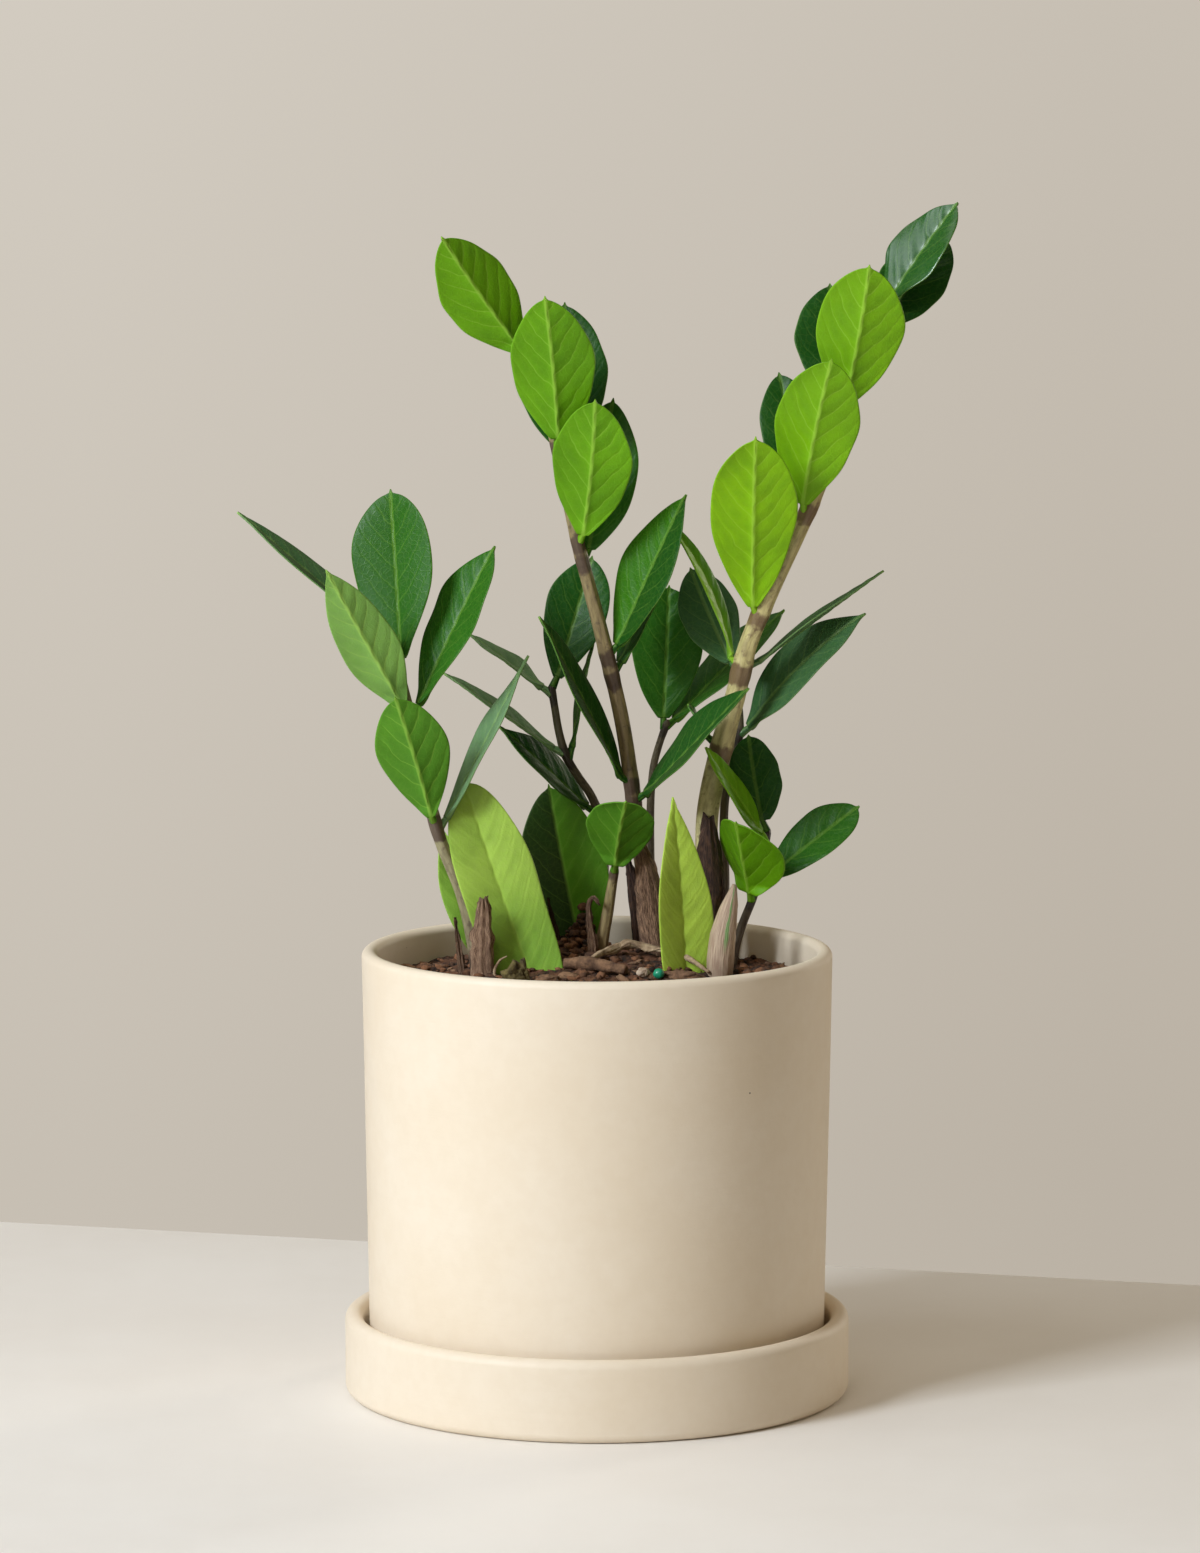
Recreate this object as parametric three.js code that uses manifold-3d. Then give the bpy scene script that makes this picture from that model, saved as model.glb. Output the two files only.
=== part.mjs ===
// A potted ZZ plant: a plain cylinder pot standing in its saucer, filled with soil,
// with eight leafy shoots, three single leaves and one closed bud growing out of it.
// Millimetres, +Z up. The origin is the middle of the saucer's underside.
import * as THREE from 'three';
import { mergeVertices } from 'three/addons/utils/BufferGeometryUtils.js';
import Module from 'manifold-3d';

const wasm = await Module();
wasm.setup();

// ---- Driving dimensions ----

const TOUCH_GAP = 0.3; // left between any two pieces that rest on or grow from each other

const POT_RIM_RADIUS = 65;
const POT_TAPER = 2; // how much narrower the pot's foot is than its rim, on the radius
const POT_HEIGHT = 118.5;
const POT_WALL = 4.3;
const POT_FLOOR = 6;
const POT_FOOT_ROUND = 2.5;
const DRAIN_RADIUS = 5;

const SAUCER_HEIGHT = 22.5;
const SAUCER_WALL = 5;
const SAUCER_FLOOR = 5;
const SAUCER_CLEARANCE = 2; // between the pot's foot and the saucer's wall
const SAUCER_FOOT_ROUND = 2.5;
const ROUND_SIDES = 56; // flat sides that the pot, saucer and soil are turned with

const SOIL_BELOW_RIM = 9.5;
const SOIL_MOUND_HEIGHT = 5;
const SOIL_MOUND_RADIUS = 24;
const SOIL_MOUND_PLACE = [5, 28]; // x, y of the mound's top
const SOIL_LUMP = 0.7; // how far the small lumps rise and fall
const SOIL_LUMP_LENGTHS = [20, 23, 33]; // from lump to lump along x, along y and slantwise
const SOIL_RINGS = 9; // rings of flat faces in the soil's surface

const PLANTED_RADIUS = 60; // radius of the soil that the plant's places below are given for
const CROWN_HEIGHT = 100; // above this the shoots keep their places in a pot of any width

const STEM_BURIED = 10; // how far a shoot goes down into the soil
const STEM_SIDES = 8;
const STEM_STEP = 7; // length of one ring of a stem

const LEAF_THICKNESS = 0.9;
const LEAF_KEEL = 0.5; // how far the midrib stands out of the underside
const WEDGE_ROOM = 5; // how much more room a leaf's thin edges need in a hole than its faces
const LEAF_RINGS = 9;
const LEAF_SIDES = 8;
const LEAF_END = 0.04; // width of a leaf's two ends, as a share of its greatest width
const LEAF_SKEW = 0.92; // under 1 puts the widest place nearer the base than the tip
const LEAF_FULLNESS = 0.8; // under 1 makes the outline fuller than a sine wave's

// ---- Sizes that follow from them ----

const POT_FOOT_RADIUS = POT_RIM_RADIUS - POT_TAPER;
const POT_BASE = SAUCER_FLOOR + TOUCH_GAP; // height of the pot's underside
const RIM_LEVEL = POT_BASE + POT_HEIGHT;
const SAUCER_INNER_RADIUS = POT_FOOT_RADIUS + SAUCER_CLEARANCE;
const SAUCER_RADIUS = SAUCER_INNER_RADIUS + SAUCER_WALL;
const POT_INSIDE_BASE = POT_BASE + POT_FLOOR;
const POT_INSIDE_SLOPE = POT_TAPER / (POT_HEIGHT - POT_WALL / 2 - POT_FLOOR);
const SOIL_LEVEL = RIM_LEVEL - SOIL_BELOW_RIM;
const SOIL_BASE = POT_INSIDE_BASE + TOUCH_GAP;
const SOIL_BASE_RADIUS = POT_FOOT_RADIUS - POT_WALL - TOUCH_GAP;
const SOIL_RADIUS = SOIL_BASE_RADIUS + POT_INSIDE_SLOPE * (SOIL_LEVEL - POT_INSIDE_BASE);

const colour = {
  ceramic: 0xe9dcc6,
  soil: 0x3c261c,
  stemLight: 0x9a9870,
  stemDark: 0x4a3a2e,
  bud: 0x9c8a78,
  sheath: 0x785f4b,
  leafLime: 0x82be28,
  leafMid: 0x50961e,
  leafDark: 0x195523,
  leafYellow: 0xa5c83c,
};

// ---- Helpers ----

const radians = THREE.MathUtils.degToRad;

function material(name, roughness) {
  return new THREE.MeshStandardMaterial({ color: colour[name], roughness, metalness: 0 });
}

function piece(name, geometry, look) {
  const mesh = new THREE.Mesh(geometry, look);
  mesh.name = name;
  return mesh;
}

// A quarter circle of profile points, from one angle to another in degrees.
function arc(centreX, centreY, radius, from, to, steps) {
  const points = [];
  for (let i = 0; i <= steps; i += 1) {
    const angle = radians(from + ((to - from) * i) / steps);
    points.push(new THREE.Vector2(
      centreX + radius * Math.cos(angle),
      centreY + radius * Math.sin(angle),
    ));
  }
  return points;
}

// LatheGeometry turns about Y; the pot stands along Z.
function turned(profile) {
  return new THREE.LatheGeometry(profile, ROUND_SIDES).rotateX(Math.PI / 2);
}

function toSolid(geometry) {
  const bare = geometry.clone();
  bare.deleteAttribute('normal');
  bare.deleteAttribute('uv');
  const merged = mergeVertices(bare, 1e-4);
  return new wasm.Manifold(new wasm.Mesh({
    numProp: 3,
    vertProperties: new Float32Array(merged.attributes.position.array),
    triVerts: new Uint32Array(merged.index.array),
  }));
}

function toGeometry(solid) {
  const mesh = solid.getMesh();
  const geometry = new THREE.BufferGeometry();
  geometry.setAttribute('position', new THREE.BufferAttribute(mesh.vertProperties, 3));
  geometry.setIndex(new THREE.BufferAttribute(mesh.triVerts, 1));
  geometry.computeVertexNormals();
  return geometry;
}

// ---- Pot and saucer ----

function makePot() {
  const lip = POT_WALL / 2;
  const profile = [
    new THREE.Vector2(DRAIN_RADIUS, POT_BASE),
    ...arc(POT_FOOT_RADIUS - POT_FOOT_ROUND, POT_BASE + POT_FOOT_ROUND, POT_FOOT_ROUND, -90, 0, 3),
    ...arc(POT_RIM_RADIUS - lip, RIM_LEVEL - lip, lip, 0, 180, 6),
    new THREE.Vector2(POT_FOOT_RADIUS - POT_WALL, POT_INSIDE_BASE),
    new THREE.Vector2(DRAIN_RADIUS, POT_INSIDE_BASE),
    new THREE.Vector2(DRAIN_RADIUS, POT_BASE),
  ];
  return piece('pot', turned(profile), material('ceramic', 0.6));
}

function makeSaucer() {
  const lip = SAUCER_WALL / 2;
  const corner = SAUCER_RADIUS - SAUCER_FOOT_ROUND;
  const profile = [
    new THREE.Vector2(0, 0),
    ...arc(corner, SAUCER_FOOT_ROUND, SAUCER_FOOT_ROUND, -90, 0, 3),
    ...arc(SAUCER_RADIUS - lip, SAUCER_HEIGHT - lip, lip, 0, 180, 6),
    new THREE.Vector2(SAUCER_INNER_RADIUS, SAUCER_FLOOR),
    new THREE.Vector2(0, SAUCER_FLOOR),
  ];
  return piece('saucer', turned(profile), material('ceramic', 0.6));
}

// ---- Soil ----

// How high the soil's surface is above its level at a place.
function soilRise(x, y) {
  const [moundX, moundY] = SOIL_MOUND_PLACE;
  const away = Math.hypot(x - moundX, y - moundY) / SOIL_MOUND_RADIUS;
  const mound = SOIL_MOUND_HEIGHT * Math.exp(-away * away);
  const [alongX, alongY, slantwise] = SOIL_LUMP_LENGTHS.map((length) => (2 * Math.PI) / length);
  const lumps = Math.sin(x * alongX) * Math.cos(y * alongY) + Math.sin((x + y) * slantwise) / 2;
  return mound + SOIL_LUMP * lumps;
}

// The plug of soil that fills the pot, before the holes for what grows in it.
function soilPlug() {
  const profile = [new THREE.Vector2(0, SOIL_BASE), new THREE.Vector2(SOIL_BASE_RADIUS, SOIL_BASE)];
  for (let ring = SOIL_RINGS; ring >= 0; ring -= 1) {
    profile.push(new THREE.Vector2((SOIL_RADIUS * ring) / SOIL_RINGS, SOIL_LEVEL));
  }
  const plug = turned(profile);
  const place = plug.attributes.position;
  for (let i = 0; i < place.count; i += 1) {
    if (place.getZ(i) > SOIL_BASE + TOUCH_GAP) {
      place.setZ(i, SOIL_LEVEL + soilRise(place.getX(i), place.getY(i)));
    }
  }
  return toSolid(plug);
}

// Where a place in the plant is, from its x, y and height above the soil's level. In a pot
// of another width the feet move in or out with the soil's edge, and the crown stays.
function planted(x, y, above) {
  const low = 1 - THREE.MathUtils.clamp(above / CROWN_HEIGHT, 0, 1);
  const spread = THREE.MathUtils.lerp(1, SOIL_RADIUS / PLANTED_RADIUS, low);
  return new THREE.Vector3(x * spread, y * spread, SOIL_LEVEL + above);
}

// ---- Stems ----

// The middle line of a shoot. Its points are [x, y, height above the soil level];
// it starts STEM_BURIED below the first of them.
function stemCurve(points, extra = 0) {
  const line = points.map(([x, y, above]) => planted(x, y, above));
  const foot = line[0].clone();
  foot.z -= STEM_BURIED + extra;
  return new THREE.CatmullRomCurve3([foot, ...line], false, 'centripetal');
}

// Radius at a share of the length, from radii spread evenly from foot to tip.
function radiusAt(radii, share) {
  const place = share * (radii.length - 1);
  const low = Math.min(Math.floor(place), radii.length - 2);
  return THREE.MathUtils.lerp(radii[low], radii[low + 1], place - low);
}

// A round rod along a curve whose radius follows its radii.
function rod(curve, radii, grow = 0) {
  const steps = Math.max(4, Math.round(curve.getLength() / STEM_STEP));
  const frames = curve.computeFrenetFrames(steps, false);
  const geometry = new THREE.CylinderGeometry(1, 1, 1, STEM_SIDES, steps);
  const place = geometry.attributes.position;
  const spot = new THREE.Vector3();
  for (let i = 0; i < place.count; i += 1) {
    const step = Math.round((0.5 - place.getY(i)) * steps);
    const radius = radiusAt(radii, step / steps) + grow;
    curve.getPointAt(step / steps, spot);
    spot.addScaledVector(frames.normals[step], place.getX(i) * radius);
    spot.addScaledVector(frames.binormals[step], place.getZ(i) * radius);
    place.setXYZ(i, spot.x, spot.y, spot.z);
  }
  geometry.computeVertexNormals();
  return geometry;
}

// ---- Leaves ----

// Half the blade's width at a share of its length, as a share of its greatest half width.
function outline(share) {
  return LEAF_END + (1 - LEAF_END) * Math.sin(Math.PI * share ** LEAF_SKEW) ** LEAF_FULLNESS;
}

// A leaf blade from its base point. heading turns it about Z (0 is +X, 90 is +Y), rise tips
// it up, roll turns it about its own midrib, fold lifts its two halves towards its upper
// side and arch bows its midrib towards its upper side. Angles are in degrees. grow makes it
// thicker on each face, for the hole it stands in; its edges and ends are thin wedges, so
// they grow WEDGE_ROOM times as much to stay as clear.
function blade(base, leaf, grow = 0) {
  const { heading, rise, length, width, roll = 0, fold = 12, arch = 0 } = leaf;
  const along = new THREE.Vector3(
    Math.cos(radians(rise)) * Math.cos(radians(heading)),
    Math.cos(radians(rise)) * Math.sin(radians(heading)),
    Math.sin(radians(rise)),
  );
  const across = new THREE.Vector3(-Math.sin(radians(heading)), Math.cos(radians(heading)), 0);
  across.applyAxisAngle(along, radians(roll));
  const up = new THREE.Vector3().crossVectors(along, across);
  const room = grow * WEDGE_ROOM;
  const start = base.clone().addScaledVector(along, -room);
  const geometry = new THREE.SphereGeometry(1, LEAF_SIDES, LEAF_RINGS);
  const place = geometry.attributes.position;
  const spot = new THREE.Vector3();
  for (let i = 0; i < place.count; i += 1) {
    const share = Math.acos(THREE.MathUtils.clamp(-place.getY(i), -1, 1)) / Math.PI;
    const turn = Math.atan2(place.getZ(i), place.getX(i));
    const onPole = share < 0.001 || share > 0.999;
    const side = onPole ? 0 : -Math.cos(turn);
    const top = onPole ? 0 : Math.sin(turn);
    const halfWidth = (outline(share) * width) / 2 + room;
    const sideways = side * halfWidth;
    const keel = top < -0.9 ? LEAF_KEEL * (1 - share) : 0;
    const thick = top * (LEAF_THICKNESS / 2 + grow) - keel;
    const bow = 4 * arch * share * (1 - share);
    const lift = Math.abs(sideways) * Math.tan(radians(fold));
    spot.copy(start).addScaledVector(along, share * (length + 2 * room));
    spot.addScaledVector(across, sideways);
    spot.addScaledVector(up, thick + bow + (onPole ? 0 : lift));
    place.setXYZ(i, spot.x, spot.y, spot.z);
  }
  geometry.computeVertexNormals();
  return { geometry, along };
}

// Where a leaf starts: on the stem's side, the touch gap away from it.
function leafBase(curve, radii, leaf) {
  const spot = curve.getPointAt(leaf.at);
  const tangent = curve.getTangentAt(leaf.at);
  const { along } = blade(spot, leaf);
  const outward = along.clone().addScaledVector(tangent, -along.dot(tangent)).normalize();
  const reach = radiusAt(radii, leaf.at) + TOUCH_GAP + LEAF_THICKNESS / 2;
  return spot.addScaledVector(outward, reach);
}

// ---- The shoots ----

// Each shoot has its stem's points and radii, and its leaves. A leaf's at is the share of
// the stem's length where it grows.
const shoots = {
  left: {
    look: ['stemLight', 0.6],
    radii: [1.9, 1.9, 1.8, 1.6, 1.3, 1.0],
    points: [[-33, 14, 0], [-37, 13, 21], [-44, 10, 40], [-49, 7, 63], [-57, 4, 97]],
    leaves: [
      { at: 0.14, heading: 135, rise: 70, length: 36, width: 10, roll: -30, tone: 'leafMid' },
      { at: 0.51, heading: -128, rise: 66, length: 39, width: 20, roll: 38, tone: 'leafMid' },
      { at: 0.49, heading: 8, rise: 63, length: 52, width: 12, roll: 15, tone: 'leafDark' },
      { at: 0.80, heading: -137, rise: 55, length: 49, width: 16, roll: 52, tone: 'leafMid' },
      { at: 0.79, heading: 10, rise: 64, length: 50, width: 20, roll: 30, tone: 'leafDark' },
      { at: 0.98, heading: 172, rise: 40, length: 54, width: 15, roll: -8, tone: 'leafDark' },
      { at: 0.91, heading: 105, rise: 75, length: 49, width: 24, roll: -36, tone: 'leafDark' },
    ],
  },
  back_left: {
    look: ['stemDark', 0.55],
    radii: [1.4, 1.3, 1.2, 1.0],
    points: [[0, 44, 2], [2, 43, 22], [0, 42, 43], [-9, 39, 59], [-13, 38, 79]],
    leaves: [
      { at: 0.57, heading: -167, rise: 43, length: 36, width: 15, roll: -34, tone: 'leafDark' },
      { at: 0.79, heading: -173, rise: 35, length: 39, width: 12, roll: -13, tone: 'leafDark' },
      { at: 0.77, heading: 42, rise: 75, length: 34, width: 7, roll: -30, tone: 'leafDark' },
      { at: 0.98, heading: 169, rise: 35, length: 27, width: 13, roll: -4, tone: 'leafDark' },
      { at: 1.00, heading: 48, rise: 66, length: 38, width: 18, roll: 36, tone: 'leafDark' },
    ],
  },
  small_middle: {
    look: ['stemLight', 0.7],
    radii: [1.9, 1.7, 1.2],
    points: [[1, 26, 4], [3, 25, 16], [5, 24, 29]],
    leaves: [
      { at: 1.00, heading: -80, rise: 50, length: 27, width: 19, roll: -12, tone: 'leafMid' },
    ],
  },
  middle: {
    look: ['stemLight', 0.6],
    radii: [2.4, 2.2, 2.1, 2.0, 1.8, 1.4, 1.0],
    points: [
      [16, 30, 5], [12, 28, 33], [7, 22, 70], [2, 18, 92],
      [-6, 13, 123], [-11, 9, 146], [-16, 6, 166], [-20, 5, 175],
    ],
    leaves: [
      { at: 0.29, heading: -37, rise: 42, length: 49, width: 22, roll: 40, tone: 'leafMid' },
      { at: 0.32, heading: -138, rise: 57, length: 57, width: 16, roll: -54, tone: 'leafDark' },
      { at: 0.49, heading: 37, rise: 59, length: 33, width: 14, roll: -5, tone: 'leafDark' },
      { at: 0.52, heading: -17, rise: 65, length: 48, width: 20, roll: 58, tone: 'leafMid' },
      { at: 0.67, heading: 45, rise: 77, length: 44, width: 21, roll: 38, tone: 'leafDark' },
      { at: 0.70, heading: -80, rise: 63, length: 44, width: 22, roll: -18, fold: 4, tone: 'leafLime' },
      { at: 0.83, heading: 85, rise: 77, length: 42, width: 25, roll: 4, tone: 'leafDark' },
      { at: 0.85, heading: -102, rise: 67, length: 44, width: 23, roll: 10, fold: 8, tone: 'leafLime' },
      { at: 0.99, heading: -142, rise: 49, length: 43, width: 20, roll: 68, fold: 18, tone: 'leafLime' },
    ],
  },
  back_middle: {
    look: ['stemDark', 0.55],
    radii: [1.3, 1.2, 1.1, 0.9],
    points: [[16, 44, 8], [15, 43, 31], [16, 40, 56], [20, 36, 69]],
    leaves: [
      { at: 0.97, heading: 72, rise: 82, length: 39, width: 20, roll: 17, tone: 'leafDark' },
      { at: 0.98, heading: 17, rise: 43, length: 46, width: 17, roll: 18, tone: 'leafDark' },
    ],
  },
  right: {
    look: ['stemLight', 0.6],
    radii: [3.3, 3.2, 3.0, 2.5, 2.3, 1.8, 1.1],
    points: [
      [34, 32, 5], [31, 31, 27], [31, 30, 44], [36, 27, 67], [39, 25, 78], [42, 22, 91],
      [47, 19, 104], [58, 14, 129], [66, 11, 149], [74, 9, 174], [78, 8, 187],
    ],
    leaves: [
      { at: 0.34, heading: 175, rise: 60, length: 12, width: 5, roll: -8, tone: 'leafDark' },
      { at: 0.45, heading: 140, rise: 60, length: 31, width: 16, roll: -50, tone: 'leafDark' },
      { at: 0.46, heading: 10, rise: 35, length: 45, width: 10, roll: -4, tone: 'leafDark' },
      { at: 0.46, heading: -170, rise: 64, length: 46, width: 12, roll: -40, arch: 4, tone: 'leafLime' },
      { at: 0.54, heading: -90, rise: 64, length: 55, width: 24, roll: 0, fold: 3, tone: 'leafLime' },
      { at: 0.71, heading: 125, rise: 71, length: 36, width: 17, roll: -37, tone: 'leafDark' },
      { at: 0.70, heading: -68, rise: 65, length: 46, width: 23, roll: -29, fold: 8, tone: 'leafLime' },
      { at: 0.85, heading: 105, rise: 70, length: 35, width: 22, roll: -15, tone: 'leafDark' },
      { at: 0.85, heading: -66, rise: 69, length: 42, width: 24, roll: -28, tone: 'leafLime' },
      { at: 0.95, heading: 115, rise: 62, length: 18, width: 9, roll: -20, tone: 'leafDark' },
      { at: 0.96, heading: 34, rise: 45, length: 35, width: 18, roll: 52, tone: 'leafDark' },
      { at: 1.00, heading: 12, rise: 54, length: 34, width: 20, roll: 30, tone: 'leafMid' },
    ],
  },
  back_right: {
    look: ['stemDark', 0.55],
    radii: [1.4, 1.3, 1.2, 1.0],
    points: [[35, 41, 3], [36, 40, 20], [36, 39, 46], [40, 37, 64], [40, 37, 73]],
    leaves: [
      { at: 0.91, heading: -13, rise: 45, length: 48, width: 15, roll: 45, arch: 3, tone: 'leafDark' },
    ],
  },
  small_right: {
    look: ['stemDark', 0.6],
    radii: [1.3, 1.2, 1.1, 0.9],
    points: [[38, 27, 1], [40, 27, 10], [44, 27, 21], [47, 30, 33], [48, 32, 39]],
    leaves: [
      { at: 0.60, heading: -106, rise: 54, length: 28, width: 23, roll: -25, fold: 22, tone: 'leafMid' },
      { at: 0.70, heading: 10, rise: 37, length: 34, width: 15, roll: 45, tone: 'leafDark' },
      { at: 0.94, heading: -145, rise: 53, length: 33, width: 10, roll: -60, tone: 'leafLime' },
      { at: 1.00, heading: 135, rise: 77, length: 26, width: 15, roll: -45, tone: 'leafDark' },
    ],
  },
};

// Leaves that grow straight from the soil, at [x, y].
const soilLeaves = [
  {
    place: [-14, 4], buried: 14, heading: 176, rise: 71, length: 72, width: 20, roll: -76,
    tone: 'leafYellow',
  },
  {
    place: [-3, 37], buried: 8, heading: 160, rise: 78, length: 55, width: 24, roll: -68,
    tone: 'leafMid',
  },
  {
    place: [25, 11], buried: 12, heading: 165, rise: 86, length: 61, width: 16, roll: -48,
    tone: 'leafYellow',
  },
];

// The closed bud: a taupe sheath round a shoot that hasn't opened.
const bud = {
  points: [[34, 8, 0], [35, 8, 12], [38, 8, 26]],
  radii: [3.0, 3.3, 3.7, 3.5, 2.4, 0.5],
};

// Dry papery sheaths that stand in front of the feet of three shoots.
const sheaths = [
  {
    name: 'left', place: [-32, 8.5], buried: 5, heading: 75, rise: 86, length: 27, width: 7,
    roll: 180,
  },
  {
    name: 'middle', place: [17.5, 25], buried: 5, heading: 200, rise: 81, length: 39, width: 8,
    roll: 70,
  },
  {
    name: 'right', place: [31, 24], buried: 5, heading: 90, rise: 87, length: 47, width: 8,
    roll: 180,
  },
];

function makeShoot(name, shoot) {
  const group = new THREE.Group();
  const curve = stemCurve(shoot.points);
  const [tone, roughness] = shoot.look;
  group.add(piece(`${name}_stem`, rod(curve, shoot.radii), material(tone, roughness)));
  shoot.leaves.forEach((leaf, index) => {
    const { geometry } = blade(leafBase(curve, shoot.radii, leaf), leaf);
    group.add(piece(`${name}_leaf_${index + 1}`, geometry, material(leaf.tone, 0.4)));
  });
  return group;
}

// The base of a piece that grows straight from the soil: its buried depth below the surface.
function buriedBase({ place: [x, y], buried }) {
  const base = planted(x, y, 0);
  base.z += soilRise(base.x, base.y) - buried;
  return base;
}

// ---- The plant in its pot ----

const group = new THREE.Group();
group.add(makeSaucer(), makePot());

const holes = [];
for (const [name, shoot] of Object.entries(shoots)) {
  group.add(makeShoot(name, shoot));
  holes.push(rod(stemCurve(shoot.points, TOUCH_GAP), shoot.radii, TOUCH_GAP));
}

group.add(piece('right_bud', rod(stemCurve(bud.points), bud.radii), material('bud', 0.75)));
holes.push(rod(stemCurve(bud.points, TOUCH_GAP), bud.radii, TOUCH_GAP));

soilLeaves.forEach((leaf, index) => {
  const base = buriedBase(leaf);
  group.add(piece(`soil_leaf_${index + 1}`, blade(base, leaf).geometry, material(leaf.tone, 0.4)));
  holes.push(blade(base, leaf, TOUCH_GAP).geometry);
});

for (const sheath of sheaths) {
  const base = buriedBase(sheath);
  const look = material('sheath', 0.9);
  group.add(piece(`${sheath.name}_dry_sheath`, blade(base, sheath).geometry, look));
  holes.push(blade(base, sheath, TOUCH_GAP).geometry);
}

let soil = soilPlug();
for (const hole of holes) {
  soil = soil.subtract(toSolid(hole));
}
group.add(piece('soil', toGeometry(soil), material('soil', 0.95)));

export default group;
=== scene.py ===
"""Looks for a potted ZZ plant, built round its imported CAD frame.

Every leaf, stem and sheath is read back from its CAD solid and rebuilt as a fine mesh in
its place. A few are drawn wider, narrower, or some millimetres forward or back, as stated
below. The pot, the saucer and the soil are built again with finer detail, and small litter
is added on the soil. Metres, +Z up, origin under the middle of the saucer.
"""
import math
import random

import bmesh
import bpy
import numpy as np
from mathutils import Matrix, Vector, noise


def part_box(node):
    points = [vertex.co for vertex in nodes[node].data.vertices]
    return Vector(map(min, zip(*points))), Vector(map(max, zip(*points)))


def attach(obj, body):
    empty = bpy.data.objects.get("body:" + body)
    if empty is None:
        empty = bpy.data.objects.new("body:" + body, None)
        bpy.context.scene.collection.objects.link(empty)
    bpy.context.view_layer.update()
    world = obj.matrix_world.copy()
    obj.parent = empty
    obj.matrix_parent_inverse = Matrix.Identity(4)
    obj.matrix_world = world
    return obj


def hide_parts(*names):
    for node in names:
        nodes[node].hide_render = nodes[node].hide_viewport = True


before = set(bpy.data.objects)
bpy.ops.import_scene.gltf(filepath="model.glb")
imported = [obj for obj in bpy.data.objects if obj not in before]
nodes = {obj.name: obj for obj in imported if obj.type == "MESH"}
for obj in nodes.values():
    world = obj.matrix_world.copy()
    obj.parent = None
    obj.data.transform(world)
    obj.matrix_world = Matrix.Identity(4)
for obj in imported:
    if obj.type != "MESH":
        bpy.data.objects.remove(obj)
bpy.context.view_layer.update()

MM = 0.001
BODY = "root"

# ---- Sizes that the frame doesn't say ----

POT_WALL = 4.3 * MM
POT_FLOOR = 6 * MM
POT_FOOT_ROUND = 2.5 * MM
DRAIN_RADIUS = 5 * MM
SAUCER_WALL = 5 * MM
SAUCER_FLOOR = 5 * MM
SAUCER_FOOT_ROUND = 2.5 * MM
POT_TAPER = 2 * MM
TURNED_SIDES = 240
PROFILE_STEP = 4 * MM
POT_WOBBLE = 0.16 * MM
SAUCER_WOBBLE = 0.14 * MM

SOIL_BELOW_RIM = 9.5 * MM
SOIL_MOUND_HEIGHT = 5 * MM
SOIL_MOUND_RADIUS = 24 * MM
SOIL_MOUND_PLACE = (5 * MM, 28 * MM)
# Lumps, clods, crumbs and grit: height, spacing, and a shift of the noise they come from.
SOIL_LUMPS = [
    (1.1 * MM, 0.013, 1.7), (1.0 * MM, 0.005, 8.1), (0.55 * MM, 0.0021, 3.3), (0.3 * MM, 0.0011, 5.9),
]
SOIL_RINGS = 120
SOIL_SIDES = 280

CAD_LEAF_THICKNESS = 0.9 * MM
CAD_LEAF_RINGS = 9

LEAF_ROWS = 64
LEAF_POINTS = [0, 0.03, 0.06, 0.1, 0.15, 0.22, 0.31, 0.41, 0.52, 0.63, 0.74, 0.83, 0.9, 0.95, 0.98, 1.0]
BLADE_HALF = 0.26 * MM
BLADE_EDGE_HALF = 0.1 * MM
FOLD_SOFTNESS = 0.6 * MM
MIDRIB_HEIGHT = 0.55 * MM
MIDRIB_WIDTH = 0.9 * MM
GROOVE_DEPTH = 0.16 * MM
GROOVE_WIDTH = 0.5 * MM
TIP_HALF_WIDTH = 0.12 * MM
PETIOLE_RADIUS = 1.0 * MM
PETIOLE_LAP = 1.5 * MM

# Side veins: their spacing, how they lean forward from the midrib and more so to the edge,
# and how far one half's veins are ahead of the other's, in spacings.
VEIN_SPACING = 6.4 * MM
VEIN_SLANT = 1.1
VEIN_LEAN, VEIN_EDGE_LEAN = 0.75, 0.55
VEIN_OFFSET = 0.45
QUILT_HEIGHT = 0.22 * MM

STEM_SIDES = 28
STEM_STEP = 0.9 * MM


def srgb(red, green, blue):
    """A colour from its 0 to 255 values, as the linear numbers that Blender takes."""
    values = [channel / 255 for channel in (red, green, blue)]
    linear = [v / 12.92 if v <= 0.04045 else ((v + 0.055) / 1.055) ** 2.4 for v in values]
    return (*linear, 1.0)


# ---- Node helpers ----


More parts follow.
